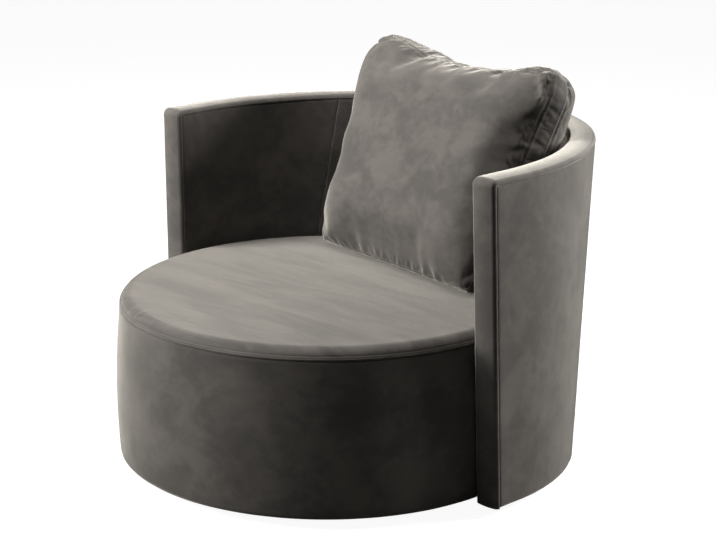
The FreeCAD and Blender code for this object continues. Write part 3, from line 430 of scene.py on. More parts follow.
def border_point(place, across, drop):
    """A point of the border at a place on its path, across the wall's thickness and under its face."""
    scene = bpy.context.scene
    wall, border, seat = scene.chair_wall, scene.chair_border, scene.chair_seat
    kind, side, value = place
    if kind == "rim":
        return wall_point(value, wall.rim - drop, across, border.corner)
    if kind == "arm":
        half = wall_plan(value, across)[0]
        return Vector((side * half, seat.middle_y - arm_reach(value) + drop, value))
    lift = radians(value)
    radius = border.corner - drop
    height = wall.rim - border.corner + radius * sin(lift)
    half = wall_plan(height, across)[0]
    y = seat.middle_y - arm_reach(wall.rim) + border.corner - radius * cos(lift)
    return Vector((side * half, y, height))


def border_section():
    """Across and drop of the border's section, from its outer seam over the face to its inner seam."""
    scene = bpy.context.scene
    wall, border = scene.chair_wall, scene.chair_border
    edge, radius, width = border.drop, border.rounding, wall.thickness
    half = [(wall.seam_depth, edge), (wall.seam_depth * 0.35, edge - 0.0006)]
    for step in range(9):
        bend = pi / 2 * step / 8
        half.append((radius * (1 - cos(bend)), radius * (1 - sin(bend))))
    face = []
    for step in range(1, 12):
        share = step / 12
        across = radius + (width - 2 * radius) * share
        face.append((across, -border.crown * sin(pi * share) ** 0.8))
    return half + face + [(width - across, drop) for across, drop in reversed(half)]


# The seat

def seat_profile():
    """Crown radius and the middle of the shoulder's rounding."""
    seat = bpy.context.scene.chair_seat
    x = seat.seam_radius - seat.shoulder * cos(SHOULDER_LEAN)
    z = seat.seam - seat.shoulder * sin(SHOULDER_LEAN)
    under = z - seat.seam - seat.crown
    crown = (seat.shoulder ** 2 - x ** 2 - under ** 2) / (2 * (under + seat.shoulder))
    return crown, x, z


def seat_top(x, y):
    """Height of the seat's top at a place."""
    seat = bpy.context.scene.chair_seat
    crown, _, _ = seat_profile()
    reach = min(hypot(x, y - seat.middle_y), seat.seam_radius)
    return seat.seam + seat.crown - crown + sqrt(crown ** 2 - reach ** 2)


def side_radius(height):
    """Radius of the seat's side at a height."""
    seat = bpy.context.scene.chair_seat
    places = [(seat.foot, seat.foot_radius), ((seat.foot + seat.seam) / 2, seat.widest_radius),
              (seat.seam, seat.seam_radius)]
    total = 0.0
    for here, radius in places:
        for other, _ in places:
            if other != here:
                radius *= (height - other) / (here - other)
        total += radius
    return total


def seat_top_profile():
    """Radii and heights of the seat's top pad, from the middle of its top round to its underside."""
    seat = bpy.context.scene.chair_seat
    crown, x, z = seat_profile()
    start = atan2(z - (seat.seam + seat.crown - crown), x)
    points = [(0.0, seat.seam + seat.crown)]
    for step in range(1, 41):
        bend = pi / 2 - (pi / 2 - start) * step / 40
        points.append((crown * cos(bend), seat.seam + seat.crown - crown + crown * sin(bend)))
    for step in range(1, 25):
        bend = start + (SHOULDER_LEAN - start) * step / 24
        points.append((x + seat.shoulder * cos(bend), z + seat.shoulder * sin(bend)))
    shaped = []
    for radius, height in points:
        edge = hypot(radius - seat.seam_radius, height - seat.seam)
        proud = 0.0006 * smooth(edge / 0.003) - 0.0009 * smooth(1 - abs(edge - seat.lap) / 0.003)
        proud += 0.0007 * smooth((edge - seat.lap) / 0.012) * smooth(1 - (edge - 0.03) / 0.03)
        out = Vector((radius - x, height - z)).normalized() if radius > x else Vector((0, 1))
        shaped.append((radius + out.x * proud, height + out.y * proud))
    shaped += [(seat.seam_radius - 0.0003, seat.seam - 0.0006),
               (seat.seam_radius - 0.004, seat.seam - 0.0008),
               (seat.drum_radius - 0.002, seat.seam - 0.001),
               (seat.drum_radius - 0.002, WEBBING_TOP),
               (0.0, WEBBING_TOP)]
    return shaped


def seat_side_profile():
    """Radii and heights of the side pad, from its seam down to its rounded foot and up inside."""
    seat = bpy.context.scene.chair_seat
    high = seat.seam - 0.0014
    points = []
    for step in range(61):
        height = high - (high - seat.foot) * crowded(step / 60)
        dip = seam_dip(high - height, seat.groove, 0.010)
        points.append((side_radius(height) - dip, height))
    rounding = seat.foot - seat.underside - 0.0004
    for step in range(1, 9):
        bend = pi / 2 * step / 8
        points.append((seat.foot_radius - rounding * (1 - cos(bend)), seat.foot - rounding * sin(bend)))
    return points + [(seat.drum_radius + 0.001, seat.underside + 0.0004), (seat.drum_radius + 0.001, high)]


# The cushion's own frame: X across, Y through it and Z up its front

def cushion_frame(settled):
    """Where the cushion's frame stands in the chair, as built or settled on the seat."""
    cushion = bpy.context.scene.chair_cushion
    place = cushion.place + cushion.settle if settled else cushion.place
    lean = Matrix.Rotation(-cushion.recline, 4, "X")
    return Matrix.Translation(place) @ Matrix.Rotation(cushion.turn, 4, "Z") @ lean


def cushion_outline(depth, scale, inset, count):
    """Points of the cushion's outline at a depth, counted evenly along its four sides and corners."""
    cushion = bpy.context.scene.chair_cushion
    middle = cushion.height / 2
    reach = middle * scale - inset
    half_low, half_high = cushion.bottom / 2 * scale - inset, cushion.top / 2 * scale - inset
    corners = [Vector((-half_low, depth, middle - reach)), Vector((half_low, depth, middle - reach)),
               Vector((half_high, depth, middle + reach)), Vector((-half_high, depth, middle + reach))]
    draws = [0.0, cushion.side_draw * scale, cushion.draw * scale, cushion.side_draw * scale]
    radius = cushion.corner * scale
    line = []
    for index, corner in enumerate(corners):
        before, after = corners[index - 1], corners[(index + 1) % 4]
        start = corner + (before - corner).normalized() * radius
        end = corner + (after - corner).normalized() * radius
        for step in range(8):
            share = step / 8
            line.append(start * (1 - share) ** 2 + corner * 2 * share * (1 - share) + end * share ** 2)
        arrive = after + (corner - after).normalized() * radius
        inward = Vector(((corner - after).z, 0, (after - corner).x)).normalized()
        if inward.dot(Vector((0, depth, middle)) - corner) < 0:
            inward = -inward
        for step in range(40):
            share = step / 40
            line.append(end.lerp(arrive, share) + inward * draws[index] * 4 * share * (1 - share))
    return evenly(line, count)


def evenly(line, count):
    """A closed line cut into evenly spaced points."""
    closed = line + [line[0]]
    reach = [0.0]
    for here, there in zip(closed, closed[1:]):
        reach.append(reach[-1] + (there - here).length)
    points, index = [], 0
    for step in range(count):
        goal = reach[-1] * step / count
        while reach[index + 1] < goal:
            index += 1
        span = reach[index + 1] - reach[index]
        points.append(closed[index].lerp(closed[index + 1], (goal - reach[index]) / max(span, 1e-9)))
    return points


def cushion_body():
    """The cushion before it is filled, a little flatter than it ends."""
    cushion = bpy.context.scene.chair_cushion
    rings = []
    for scale, share in reversed(CROWN_STEPS):
        rings.append((-cushion.front_crown * cushion.flatness * share, scale))
    for scale, share in CROWN_STEPS:
        rings.append((cushion.strip + cushion.back_crown * cushion.flatness * share, scale))
    bm = bmesh.new()
    loops = []
    for depth, scale in rings:
        ring = bmesh.ops.create_circle(bm, segments=200, radius=1)["verts"]
        for vert, point in zip(ring, cushion_outline(depth, scale, cushion.shrink * scale, len(ring))):
            vert.co = point
        loops.append(ring)
    for pair in zip(loops, loops[1:]):
        edges = [bm.edges.get(ends) for loop in pair for ends in zip(loop, loop[1:] + loop[:1])]
        bmesh.ops.bridge_loops(bm, edges=edges)
    bmesh.ops.holes_fill(bm, edges=bm.edges)
    bmesh.ops.recalc_face_normals(bm, faces=bm.faces)
    return bm


def nearest_seam(point, seams):
    """Distance of a point to the nearest seam, and the number of the seam's point there."""
    hit = min((tree.find(point) for tree in seams), key=lambda hit: hit[2])
    return hit[2], hit[1]


def trees_of(lines):
    """A KD tree for each line of points."""
    trees = []
    for line in lines:
        tree = KDTree(len(line))
        for index, point in enumerate(line):
            tree.insert(point, index)
        tree.balance()
        trees.append(tree)
    return trees


def evaluated_mesh(piece):
    """A copy of a piece's mesh with its modifiers applied."""
    return bpy.data.meshes.new_from_object(piece.evaluated_get(bpy.context.evaluated_depsgraph_get()))


def remesh(piece, voxel):
    """Give the cushion an even grid, which cloth needs."""
    even = piece.modifiers.new("Even grid", "REMESH")
    even.mode = "VOXEL"
    even.voxel_size = voxel
    mesh = evaluated_mesh(piece)
    piece.modifiers.clear()
    piece.data = mesh


def fill_cushion(piece, seams):
    """Swell the cushion's cloth under its filling while the seams draw in, and return each point's move."""
    cushion = bpy.context.scene.chair_cushion
    start = [vert.co.copy() for vert in piece.data.vertices]
    gathered = piece.vertex_groups.new(name="gathered")
    resting = piece.vertex_groups.new(name="resting")
    for index, point in enumerate(start):
        gathered.add([index], smooth(1 - nearest_seam(point, seams)[0] / 0.02), "REPLACE")
        resting.add([index], smooth(1 - (point.z - cushion.shrink * 1.2) / 0.006), "REPLACE")
    cloth = piece.modifiers.new("Filling", "CLOTH")
    for name, value in VELVET_CLOTH.items():
        setattr(cloth.settings, name, value)
    cloth.settings.vertex_group_shrink = gathered.name
    cloth.settings.vertex_group_mass = resting.name
    cloth.settings.effector_weights.gravity = 0
    cloth.collision_settings.use_collision = False
    cloth.point_cache.frame_end = FILL_FRAMES
    for step in range(1, FILL_FRAMES + 1):
        bpy.context.scene.frame_set(step)
    mesh = evaluated_mesh(piece)
    piece.modifiers.clear()
    piece.vertex_groups.clear()
    bpy.context.scene.frame_set(1)
    for vert, point in zip(mesh.vertices, start):
        move = vert.co - point
        if move.length > cushion.cap:
            vert.co = point + move * (cushion.cap / move.length)
    calm(mesh, start, seams)
    moves = [vert.co - point for vert, point in zip(mesh.vertices, start)]
    piece.data = mesh
    return start, moves


def calm(mesh, start, seams):
    """Smooth the cushion's faces away from its seams, where the filling pulls the cloth taut."""
    away = [nearest_seam(point, seams)[0] for point in start]
    bm = bmesh.new()
    bm.from_mesh(mesh)
    bm.verts.ensure_lookup_table()
    for edge in (0.030, 0.042, 0.055):
        taut = [bm.verts[index] for index, distance in enumerate(away) if distance > edge]
        for _ in range(7):
            bmesh.ops.smooth_vert(bm, verts=taut, factor=0.5,
                                  use_axis_x=True, use_axis_y=True, use_axis_z=True)
    bm.to_mesh(mesh)
    bm.free()


def gather(distance, along):
    """Depth of the fine gathers beside the cushion's seams."""
    slant = along + 0.35 * distance
    fold = 0.6 * ripple((slant, 0, 0), 0.011) + 0.8 * ripple((slant, 3, 0), 0.024)
    held = 0.65 + 0.9 * abs(ripple((along, 7, 0), 0.19))
    return 0.0016 * held * fold * smooth(distance / 0.004) * (1 - smooth(distance / GATHER_FADE))


def press(point):
    """Keep a point of the cushion on the seat and inside the wall."""
    scene = bpy.context.scene
    wall = scene.chair_wall
    point.z = max(point.z, seat_top(point.x, point.y) + 0.0006)
    if point.z > wall.rim + 0.004:
        return point
    half, back, side, rear = wall_plan(point.z, wall.thickness)
    y = point.y - scene.chair_seat.middle_y
    centre, radius = Vector((0, back - rear)), rear
    if atan2(abs(point.x), y - centre.y) > pi / 4:
        centre, radius = Vector((half - side if point.x > 0 else side - half, wall.straight)), side
    out = Vector((point.x, y)) - centre
    reach = radius - 0.0015
    if out.length > reach and y > wall.straight:
        out = centre + out * (reach / out.length)
        point.x, point.y = out.x, out.y + scene.chair_seat.middle_y
    return point


def settle_cushion(piece, start, seams):
    """Add gathers and seam grooves to the filled cushion, open its zip well and set it in the chair."""
    cushion = bpy.context.scene.chair_cushion
    line = cushion_outline(0, 1, 0.0, SEAM_POINTS)
    spacing = sum((there - here).length for here, there in zip(line, line[1:] + line[:1])) / SEAM_POINTS
    near = [nearest_seam(point, seams) for point in start]
    mesh = piece.data
    for name, values in (("from_seam", [distance for distance, _ in near]),
                         ("along_seam", [index * spacing for _, index in near])):
        mesh.attributes.new(name, "FLOAT", "POINT").data.foreach_set("value", values)
    finer = piece.modifiers.new("Finer", "SUBSURF")
    finer.levels = finer.render_levels = 1
    mesh = evaluated_mesh(piece)
    piece.modifiers.clear()
    piece.data = mesh
    from_seam = [item.value for item in mesh.attributes["from_seam"].data]
    along_seam = [item.value for item in mesh.attributes["along_seam"].data]
    normals = [vert.normal.copy() for vert in mesh.vertices]
    place, built = cushion_frame(True), cushion_frame(False)
    back = built.inverted()
    for vert, distance, along, out in zip(mesh.vertices, from_seam, along_seam, normals):
        groove = -0.0016 * (1 - smooth(distance / 0.0045))
        lip = 0.0008 * smooth(1 - abs(distance - 0.007) / 0.005)
        point = vert.co + out * (groove + lip + gather(distance, along))
        foot = place @ Vector((point.x, min(max(point.y, 0.0), cushion.strip), 0.0))
        slump = max(foot.z - seat_top(foot.x, foot.y), 0.0) * smooth(1 - point.z / cushion.slump)
        slump *= cushion.slump_share
        point.x -= cushion.lean * smooth(point.z / cushion.height)
        point = place @ point
        point.z -= slump
        point = back @ press(point)
        room = min(cushion.zip_length / 2 - abs(point.x),
                   cushion.zip_tape / 2 - abs(point.y - cushion.strip / 2)) + cushion.zip_ease
        if room > 0 and point.z < 0.0008:
            point.z += (0.0008 - point.z) * smooth(room / 0.006)
        vert.co = built @ point
    for name in ("from_seam", "along_seam"):
        mesh.attributes.remove(mesh.attributes[name])
    mesh.update()
    mesh.shade_smooth()


def cushion_rows(piece, start, moves):
    """Rows of stitches on both sides of the cushion's two seams, laid on its surface."""
    scene = bpy.context.scene
    cushion, gap = scene.chair_cushion, 0.005
    tree = trees_of([start])[0]
    surface = BVHTree.FromObject(piece, bpy.context.evaluated_depsgraph_get())
    place = cushion_frame(True)
    rows = []
    for seam, out in ((0.0, -1), (cushion.strip, 1)):
        for depth, inset in ((seam - out * gap, cushion.shrink), (seam + out * 0.002, cushion.shrink + gap)):
            row = []
            for point in cushion_outline(depth, 1, inset, 500):
                hits = tree.find_n(point, 8)
                move = sum((moves[index] for _, index, _ in hits), Vector()) / len(hits)
                spot, normal, _, _ = surface.find_nearest(place @ (point + move))
                row.append((spot + normal * 0.0001, normal))
            rows.append(row + row[:1])
    return rows


# Finishes

def start_material(name):
    """A new material with its output, and its place in object coordinates."""
    material = bpy.data.materials.new(name)
    material.use_nodes = True
    material.node_tree.nodes.clear()
    coords = add_node(material, "ShaderNodeTexCoord")
    return material, coords.outputs["Object"]


def end_material(material, shader):
    """Join a shader to the material's output."""
    add_node(material, "ShaderNodeOutputMaterial", sockets={"Surface": shader.outputs[0]})
    return material


def two_tone(material, factor, low, high, dark, light):
    """A blend of two colours by a pattern, between two of its values."""
    share = add_node(material, "ShaderNodeMapRange", {"interpolation_type": "SMOOTHSTEP"},
                     {"Value": factor, "From Min": low, "From Max": high})
    mix = add_node(material, "ShaderNodeMix", {"data_type": "RGBA"},
                   {0: share.outputs[0], 6: opaque(dark), 7: opaque(light)})
    return mix.outputs[2]


def velvet(name, brush, long, wide):
    """Cut-pile velvet: a dark ground with pale tips, with painted shade and painted sheen in patches where
    the pile was brushed either way.
    """
    finishes = bpy.context.scene.chair_finishes
    material, place = start_material(name)
    swept = add_node(material, "ShaderNodeMapping", None, {
        "Vector": place, "Rotation": (0, 0, -brush), "Scale": (1 / long, 1 / wide, 1 / wide)})
    patches = add_node(material, "ShaderNodeTexNoise", None, {
        "Vector": swept.outputs[0], "Scale": 1.0, "Detail": 3.0, "Roughness": 0.55, "Distortion": 0.5})
    strokes = add_node(material, "ShaderNodeTexNoise", None, {
        "Vector": swept.outputs[0], "Scale": 5.0, "Detail": 2.0, "Roughness": 0.6, "Distortion": 0.3})
    both = add_node(material, "ShaderNodeMath", {"operation": "MULTIPLY_ADD"}, {
        0: strokes.outputs[0], 1: 0.35, 2: patches.outputs[0]})
    # The base colour moves between painted shade and painted sheen across the brushed patches.
    tone = two_tone(material, both.outputs[0], 0.50, 0.86, finishes.velvet_painted_shade, finishes.velvet_painted_sheen)
    # The pile is about 0.3 mm apart and is drawn 1.6 mm apart, so that it shows.
    pile = add_node(material, "ShaderNodeTexNoise", None, {
        "Vector": place, "Scale": 1 / 0.0016, "Detail": 2.0, "Roughness": 0.7})
    waves = add_node(material, "ShaderNodeBump", None, {
        "Strength": 0.10, "Distance": 0.005, "Height": both.outputs[0]})
    tips = add_node(material, "ShaderNodeBump", None, {
        "Strength": 0.45, "Distance": 0.0009, "Height": pile.outputs[0], "Normal": waves.outputs[0]})
    shader = add_node(material, "ShaderNodeBsdfPrincipled", None, {
        "Base Color": tone, "Roughness": 0.95, "Specular IOR Level": 0.25, "Sheen Weight": 0.9,
        "Sheen Roughness": 0.32, "Sheen Tint": opaque(finishes.velvet_sheen), "Normal": tips.outputs[0]})
    return end_material(material, shader)


def thread():
    """Spun polyester thread: a soft gloss, broken by the twist of its strands."""
    material, place = start_material("polyester_thread")
    twist = add_node(material, "ShaderNodeTexWave", {"bands_direction": "DIAGONAL"}, {
        "Vector": place, "Scale": 320.0, "Distortion": 1.0})
    bump = add_node(material, "ShaderNodeBump", None, {
        "Strength": 0.5, "Distance": 0.0002, "Height": twist.outputs[1]})
    shader = add_node(material, "ShaderNodeBsdfPrincipled", None, {
        "Base Color": opaque(bpy.context.scene.chair_finishes.thread), "Roughness": 0.6,
        "Normal": bump.outputs[0]})
    return end_material(material, shader)


def wood(name, dark, light, grain, ply, roughness):
    """Sawn wood: fine grain along X, with darker glue lines in its edges where it is built up of plies."""
    material, place = start_material(name)
    along = add_node(material, "ShaderNodeMapping", None, {
        "Vector": place, "Scale": (1 / (grain * 18), 1 / grain, 1 / grain)})
    figure = add_node(material, "ShaderNodeTexNoise", None, {
        "Vector": along.outputs[0], "Scale": 1.0, "Detail": 5.0, "Roughness": 0.6, "Distortion": 0.7})
    tone = two_tone(material, figure.outputs[0], 0.32, 0.68, linear(dark), linear(light))
    if ply:
        parts = add_node(material, "ShaderNodeSeparateXYZ", None, {0: place})
        turns = add_node(material, "ShaderNodeMath", {"operation": "MULTIPLY"}, {
            0: parts.outputs[2], 1: pi / ply})
        band = add_node(material, "ShaderNodeMath", {"operation": "SINE"}, {0: turns.outputs[0]})
        face = add_node(material, "ShaderNodeNewGeometry")
        upright = add_node(material, "ShaderNodeSeparateXYZ", None, {0: face.outputs["Normal"]})
        flat = add_node(material, "ShaderNodeMath", {"operation": "ABSOLUTE"}, {0: upright.outputs[2]})
        edge = add_node(material, "ShaderNodeMath", {"operation": "LESS_THAN"}, {0: flat.outputs[0], 1: 0.5})
        line = add_node(material, "ShaderNodeMath", {"operation": "GREATER_THAN"}, {
            0: band.outputs[0], 1: 0.1})
        share = add_node(material, "ShaderNodeMath", {"operation": "MULTIPLY"}, {
            0: edge.outputs[0], 1: line.outputs[0]})
        mix = add_node(material, "ShaderNodeMix", {"data_type": "RGBA"}, {
            0: share.outputs[0], 6: tone, 7: opaque(linear(dark))})
        tone = mix.outputs[2]
    bump = add_node(material, "ShaderNodeBump", None, {
        "Strength": 0.3, "Distance": 0.0005, "Height": figure.outputs[0]})
    shader = add_node(material, "ShaderNodeBsdfPrincipled", None, {
        "Base Color": tone, "Roughness": roughness, "Normal": bump.outputs[0]})
    return end_material(material, shader)


def woven(name, dark, light, pitch, turn):
    """Woven or bonded cloth: threads of two shades crossing at a pitch."""
    material, place = start_material(name)
    turned_place = add_node(material, "ShaderNodeMapping", None, {"Vector": place, "Rotation": (0, 0, turn)})
    warp = add_node(material, "ShaderNodeTexWave", {"bands_direction": "X"}, {
        "Vector": turned_place.outputs[0], "Scale": 0.314 / pitch, "Distortion": 1.5, "Detail Scale": 40.0})
    weft = add_node(material, "ShaderNodeTexWave", {"bands_direction": "Y"}, {
        "Vector": turned_place.outputs[0], "Scale": 0.314 / pitch, "Distortion": 1.5, "Detail Scale": 40.0})
    cross = add_node(material, "ShaderNodeMath", {"operation": "MULTIPLY"}, {
        0: warp.outputs[1], 1: weft.outputs[1]})
    tone = two_tone(material, cross.outputs[0], 0.1, 0.7, linear(dark), linear(light))
    bump = add_node(material, "ShaderNodeBump", None, {
        "Strength": 0.6, "Distance": pitch / 3, "Height": cross.outputs[0]})
    shader = add_node(material, "ShaderNodeBsdfPrincipled", None, {
        "Base Color": tone, "Roughness": 0.9, "Normal": bump.outputs[0]})
    return end_material(material, shader)


def plain(name, dark, light, patch, roughness, metallic, relief):
    """A moulded, rolled or plated surface: two close shades in patches and a fine relief."""
    material, place = start_material(name)
    cloud = add_node(material, "ShaderNodeTexNoise", None, {
        "Vector": place, "Scale": 1 / patch, "Detail": 4.0, "Roughness": 0.6})
    tone = two_tone(material, cloud.outputs[0], 0.35, 0.65, linear(dark), linear(light))
    fine = add_node(material, "ShaderNodeTexNoise", None, {
        "Vector": place, "Scale": 1 / 0.0012, "Detail": 2.0})
    rough = add_node(material, "ShaderNodeMapRange", None, {
        "Value": cloud.outputs[0], "To Min": roughness - 0.06, "To Max": roughness + 0.08})
    bump = add_node(material, "ShaderNodeBump", None, {
        "Strength": 0.4, "Distance": relief, "Height": fine.outputs[0]})
    shader = add_node(material, "ShaderNodeBsdfPrincipled", None, {
        "Base Color": tone, "Metallic": metallic, "Roughness": rough.outputs[0],
        "Normal": bump.outputs[0]})
    return end_material(material, shader)


def hidden_finishes():
    """The finishes of the frame, swivel and zip, by the record's material slot."""
    return {
        # Birch plywood, sanded: pale, with a soft figure and brown glue lines in its edges.
        "plywood": wood("birch_plywood", "#A98452", "#D9BB8A", 0.006, 0.0015, 0.6),
        # Planed pine: yellow, with a broad grain.
        "softwood": wood("planed_pine", "#BF8F52", "#E3C08A", 0.009, 0, 0.55),
        # Oil-tempered hardboard: brown pressed fibre, smooth on its face.
        "hardboard": plain("hardboard", "#4C3524", "#6B4C34", 0.02, 0.55, 0.0, 0.0003),
        # Elastic webbing: black rubber threads in a ribbed weave.
        "webbing": woven("elastic_webbing", "#161616", "#34332F", 0.003, 0.0),
        # Spun-bonded cloth: thin black polypropylene with a welded dot pattern.
        "black_cloth": woven("spunbonded_cloth", "#0E0E0E", "#232323", 0.004, pi / 4),
        # Zinc plate on pressed steel: grey and slightly cloudy.
        "zinc_steel": plain("zinc_plated_steel", "#9A9DA0", "#B9BCBE", 0.012, 0.35, 1.0, 0.0001),
        # Ground bearing steel: nearly a mirror.
        "ball_steel": plain("bearing_steel", "#C9C9CB", "#D6D6D8", 0.004, 0.12, 1.0, 0.00002),
        # Moulded nylon: dark grey, with a faint moulded grain.
        "cage_nylon": plain("moulded_nylon", "#303032", "#3C3C3E", 0.01, 0.45, 0.0, 0.0001),
        # Hard polyethylene glide: black and waxy.
        "glide_plastic": plain("moulded_polyethylene", "#1C1C1C", "#262626", 0.01, 0.4, 0.0, 0.0001),
        # Nylon coil on woven tape: dark grey, ribbed across.
        "zip_nylon": woven("nylon_zip", "#242220", "#3D3935", 0.0014, 0.0),
        # Lacquered zinc casting: dark, with a dull gloss.
        "zip_metal": plain("lacquered_zinc", "#2B2926", "#39362F", 0.004, 0.35, 0.6, 0.0001),
    }


# Operators

class CHAIR_OT_cover_finishes(bpy.types.Operator):
    """Make the velvet and the thread that all covers share"""
    bl_idname = "chair.cover_finishes"
    bl_label = "Velvet and thread"

    def execute(self, context):
        brush = context.scene.chair_studio.azimuth
        velvet("velvet_seat", brush, 0.30, 0.05)
        velvet("velvet_wall", brush, 0.16, 0.12)
        velvet("velvet_cushion", brush, 0.12, 0.09)
        thread()
        return {"FINISHED"}


class CHAIR_OT_frame_finishes(bpy.types.Operator):
    """Give the wooden frame, the swivel and the zip their finishes"""
    bl_idname = "chair.frame_finishes"
    bl_label = "Frame finishes"

    def execute(self, context):
        finishes = hidden_finishes()
        slots = {part["node"]: part["material_slot"] for part in frame["record"]["subparts"]}
        covered = ("velvet", "foam", "wadding")
        for name, node in frame["nodes"].items():
            node.data.materials.clear()
            slot = slots[name]
            node.data.materials.append(bpy.data.materials["velvet_wall"] if slot in covered
                                       else finishes[slot])
        return {"FINISHED"}


class CHAIR_OT_seat(bpy.types.Operator):
    """Make the domed top and the side of the round seat, and the topstitched seam between them"""
    bl_idname = "chair.seat"
    bl_label = "Seat"

    def execute(self, context):
        seat, stitches = context.scene.chair_seat, context.scene.chair_stitches
        middle = (0, seat.middle_y, 0)
        crown = turned(seat_top_profile(), 480)
        for vert in crown.verts:
            reach = hypot(vert.co.x, vert.co.y)
            if vert.co.z > seat.seam + 0.004:
                edge = hypot(reach - seat.seam_radius, vert.co.z - seat.seam)
                about = atan2(vert.co.y, vert.co.x) * seat.seam_radius
                pull = 0.0010 * ripple((about, 0, 0), 0.016) * smooth(edge / 0.012)
                pull *= 1 - smooth((edge - 0.01) / 0.05)
                vert.co.z += pull + 0.0012 * ripple(vert.co, 0.16) * smooth(edge / 0.1)
        bmesh.ops.translate(crown, verts=crown.verts, vec=middle)
        top = finish_piece("seat_top_pad", crown, bpy.data.materials["velvet_seat"], "seat",
                           ["seat_top_cover", "seat_foam"])
        drum = turned(seat_side_profile(), 480)
        for vert in drum.verts:
            reach = hypot(vert.co.x, vert.co.y)
            if reach > seat.drum_radius + 0.004:
                slack = 0.0007 * (1 + ripple(vert.co, 0.14)) + 0.0004 * (1 + ripple(vert.co, 0.045))
                slack *= smooth((seat.seam - vert.co.z) / 0.03)
                vert.co.x -= vert.co.x / reach * slack
                vert.co.y -= vert.co.y / reach * slack
        bmesh.ops.translate(drum, verts=drum.verts, vec=middle)
        side = finish_piece("seat_side_pad", drum, bpy.data.materials["velvet_wall"], "seat",
                            ["seat_side_cover", "seat_side_padding"])
        _, x, z = seat_profile()
        rows = []
        for row in (stitches.first_row, stitches.second_row):
            bend = SHOULDER_LEAN + row / seat.shoulder
            radius = x + (seat.shoulder + 0.0007) * cos(bend)
            height = z + (seat.shoulder + 0.0007) * sin(bend)
            line = []
            for step in range(361):
                turn = radians(step)
                up = Vector((cos(bend) * cos(turn), cos(bend) * sin(turn), sin(bend)))
                line.append((Vector((radius * cos(turn), radius * sin(turn) + seat.middle_y, height)), up))
            rows.append(line)
        stitch_rows("seat_stitches", rows, "seat", bpy.data.materials["polyester_thread"])
        return {"FINISHED"}


class CHAIR_OT_wall(bpy.types.Operator):
    """Make the padded covers outside and inside the wall, and the stitches of their upright seams"""
    bl_idname = "chair.wall"
    bl_label = "Wall"

    def execute(self, context):
        wall, stitches = context.scene.chair_wall, context.scene.chair_stitches
        velvet_wall = bpy.data.materials["velvet_wall"]
        seam = degrees(wall.seam_turn)
        arm = 90 + ARM_TURN
        spans = {"right": (seam, arm), "centre": (-seam, seam), "left": (-arm, -seam)}
        for name, (low, high) in spans.items():
            outer = [f"outer_cover_{name}"] + (["outer_wadding"] if name == "centre" else [])
            inner = [f"inner_cover_{name}"] + (["inner_wall_foam"] if name == "centre" else [])
            wall_panel(f"outer_panel_{name}", (high, low), True, outer, velvet_wall)
            wall_panel(f"inner_panel_{name}", (low, high), False, inner, velvet_wall)
        rows = []
        for turn in (seam, -seam):
            for offset in (-stitches.first_row, stitches.first_row):
                for inset in (0.0, wall.thickness):
                    rows.append(self.upright_row(turn + offset / DEGREE, inset))
        stitch_rows("wall_stitches", rows, "seat", bpy.data.materials["polyester_thread"])
        return {"FINISHED"}

    def upright_row(self, turn, inset):
        """A row of stitches up the wall beside a seam, with its outward direction."""
        scene = bpy.context.scene
        wall, border, seat = scene.chair_wall, scene.chair_border, scene.chair_seat
        sign = 1 if inset == 0 else -1
        row = []
        for step in range(40):
            height = seat.foot + (wall.rim - border.drop - seat.foot) * step / 39
            dip = seam_dip(scene.chair_stitches.first_row, wall.seam_depth, wall.seam_roll) - 0.0001
            here = wall_point(turn, height, inset + sign * dip)
            out = wall_point(turn, height, inset - sign * 0.01) - here
            out.z = 0
            row.append((here, out.normalized()))
        return row


class CHAIR_OT_border(bpy.types.Operator):
    """Make the border over the rim and down both arm fronts, and the stitches along its seams"""
    bl_idname = "chair.border"
    bl_label = "Border"

    def execute(self, context):
        scene = context.scene
        border, wall = scene.chair_border, scene.chair_wall
        path, section = border_path(), border_section()

        def place(along, over):
            spot = path[round(along * (len(path) - 1))]
            across, drop = section[round(over * (len(section) - 1))]
            point = border_point(spot, across, drop)
            slack = 0.0004 * ripple(point, 0.06)
            return border_point(spot, across, drop + slack * smooth((border.drop - drop) / 0.004))

        bm = mapped_grid(len(path) - 1, len(section) - 1, place)
        nodes = ["border_rim", "border_arm_fronts", "rim_foam", "arm_front_foam"]
        strip = finish_piece("border_strip", bm, bpy.data.materials["velvet_wall"], "seat", nodes)
        thicken(strip, border.pad)
        rows = []
        for across, side in ((0.0, 1), (wall.thickness, -1)):
            row = []
            for spot in path:
                here = border_point(spot, across + side * 0.0003, border.drop - 0.0035)
                out = border_point(spot, across - side * 0.01, border.drop - 0.0035) - here
                row.append((here, out.normalized()))
            rows.append(row)
        stitch_rows("border_stitches", rows, "seat", bpy.data.materials["polyester_thread"])
        return {"FINISHED"}


class CHAIR_OT_cushion(bpy.types.Operator):
    """Make the loose back cushion, filled by a cloth simulation, with its gathered and stitched seams"""
    bl_idname = "chair.cushion"
    bl_label = "Back cushion"

    def execute(self, context):
        cushion = context.scene.chair_cushion
        nodes = ["cushion_front_panel", "cushion_back_panel", "cushion_gusset", "cushion_filling"]
        piece = finish_piece("back_cushion", cushion_body(), bpy.data.materials["velvet_cushion"],
                             "cushion", nodes)
        seams = trees_of([cushion_outline(depth, 1, cushion.shrink, SEAM_POINTS)
                          for depth in (0, cushion.strip)])
        remesh(piece, cushion.voxel * (1))
        start, moves = fill_cushion(piece, seams)
        settle_cushion(piece, start, seams)
        stitch_rows("cushion_stitches", cushion_rows(piece, start, moves), "cushion",
                    bpy.data.materials["polyester_thread"])
        return {"FINISHED"}


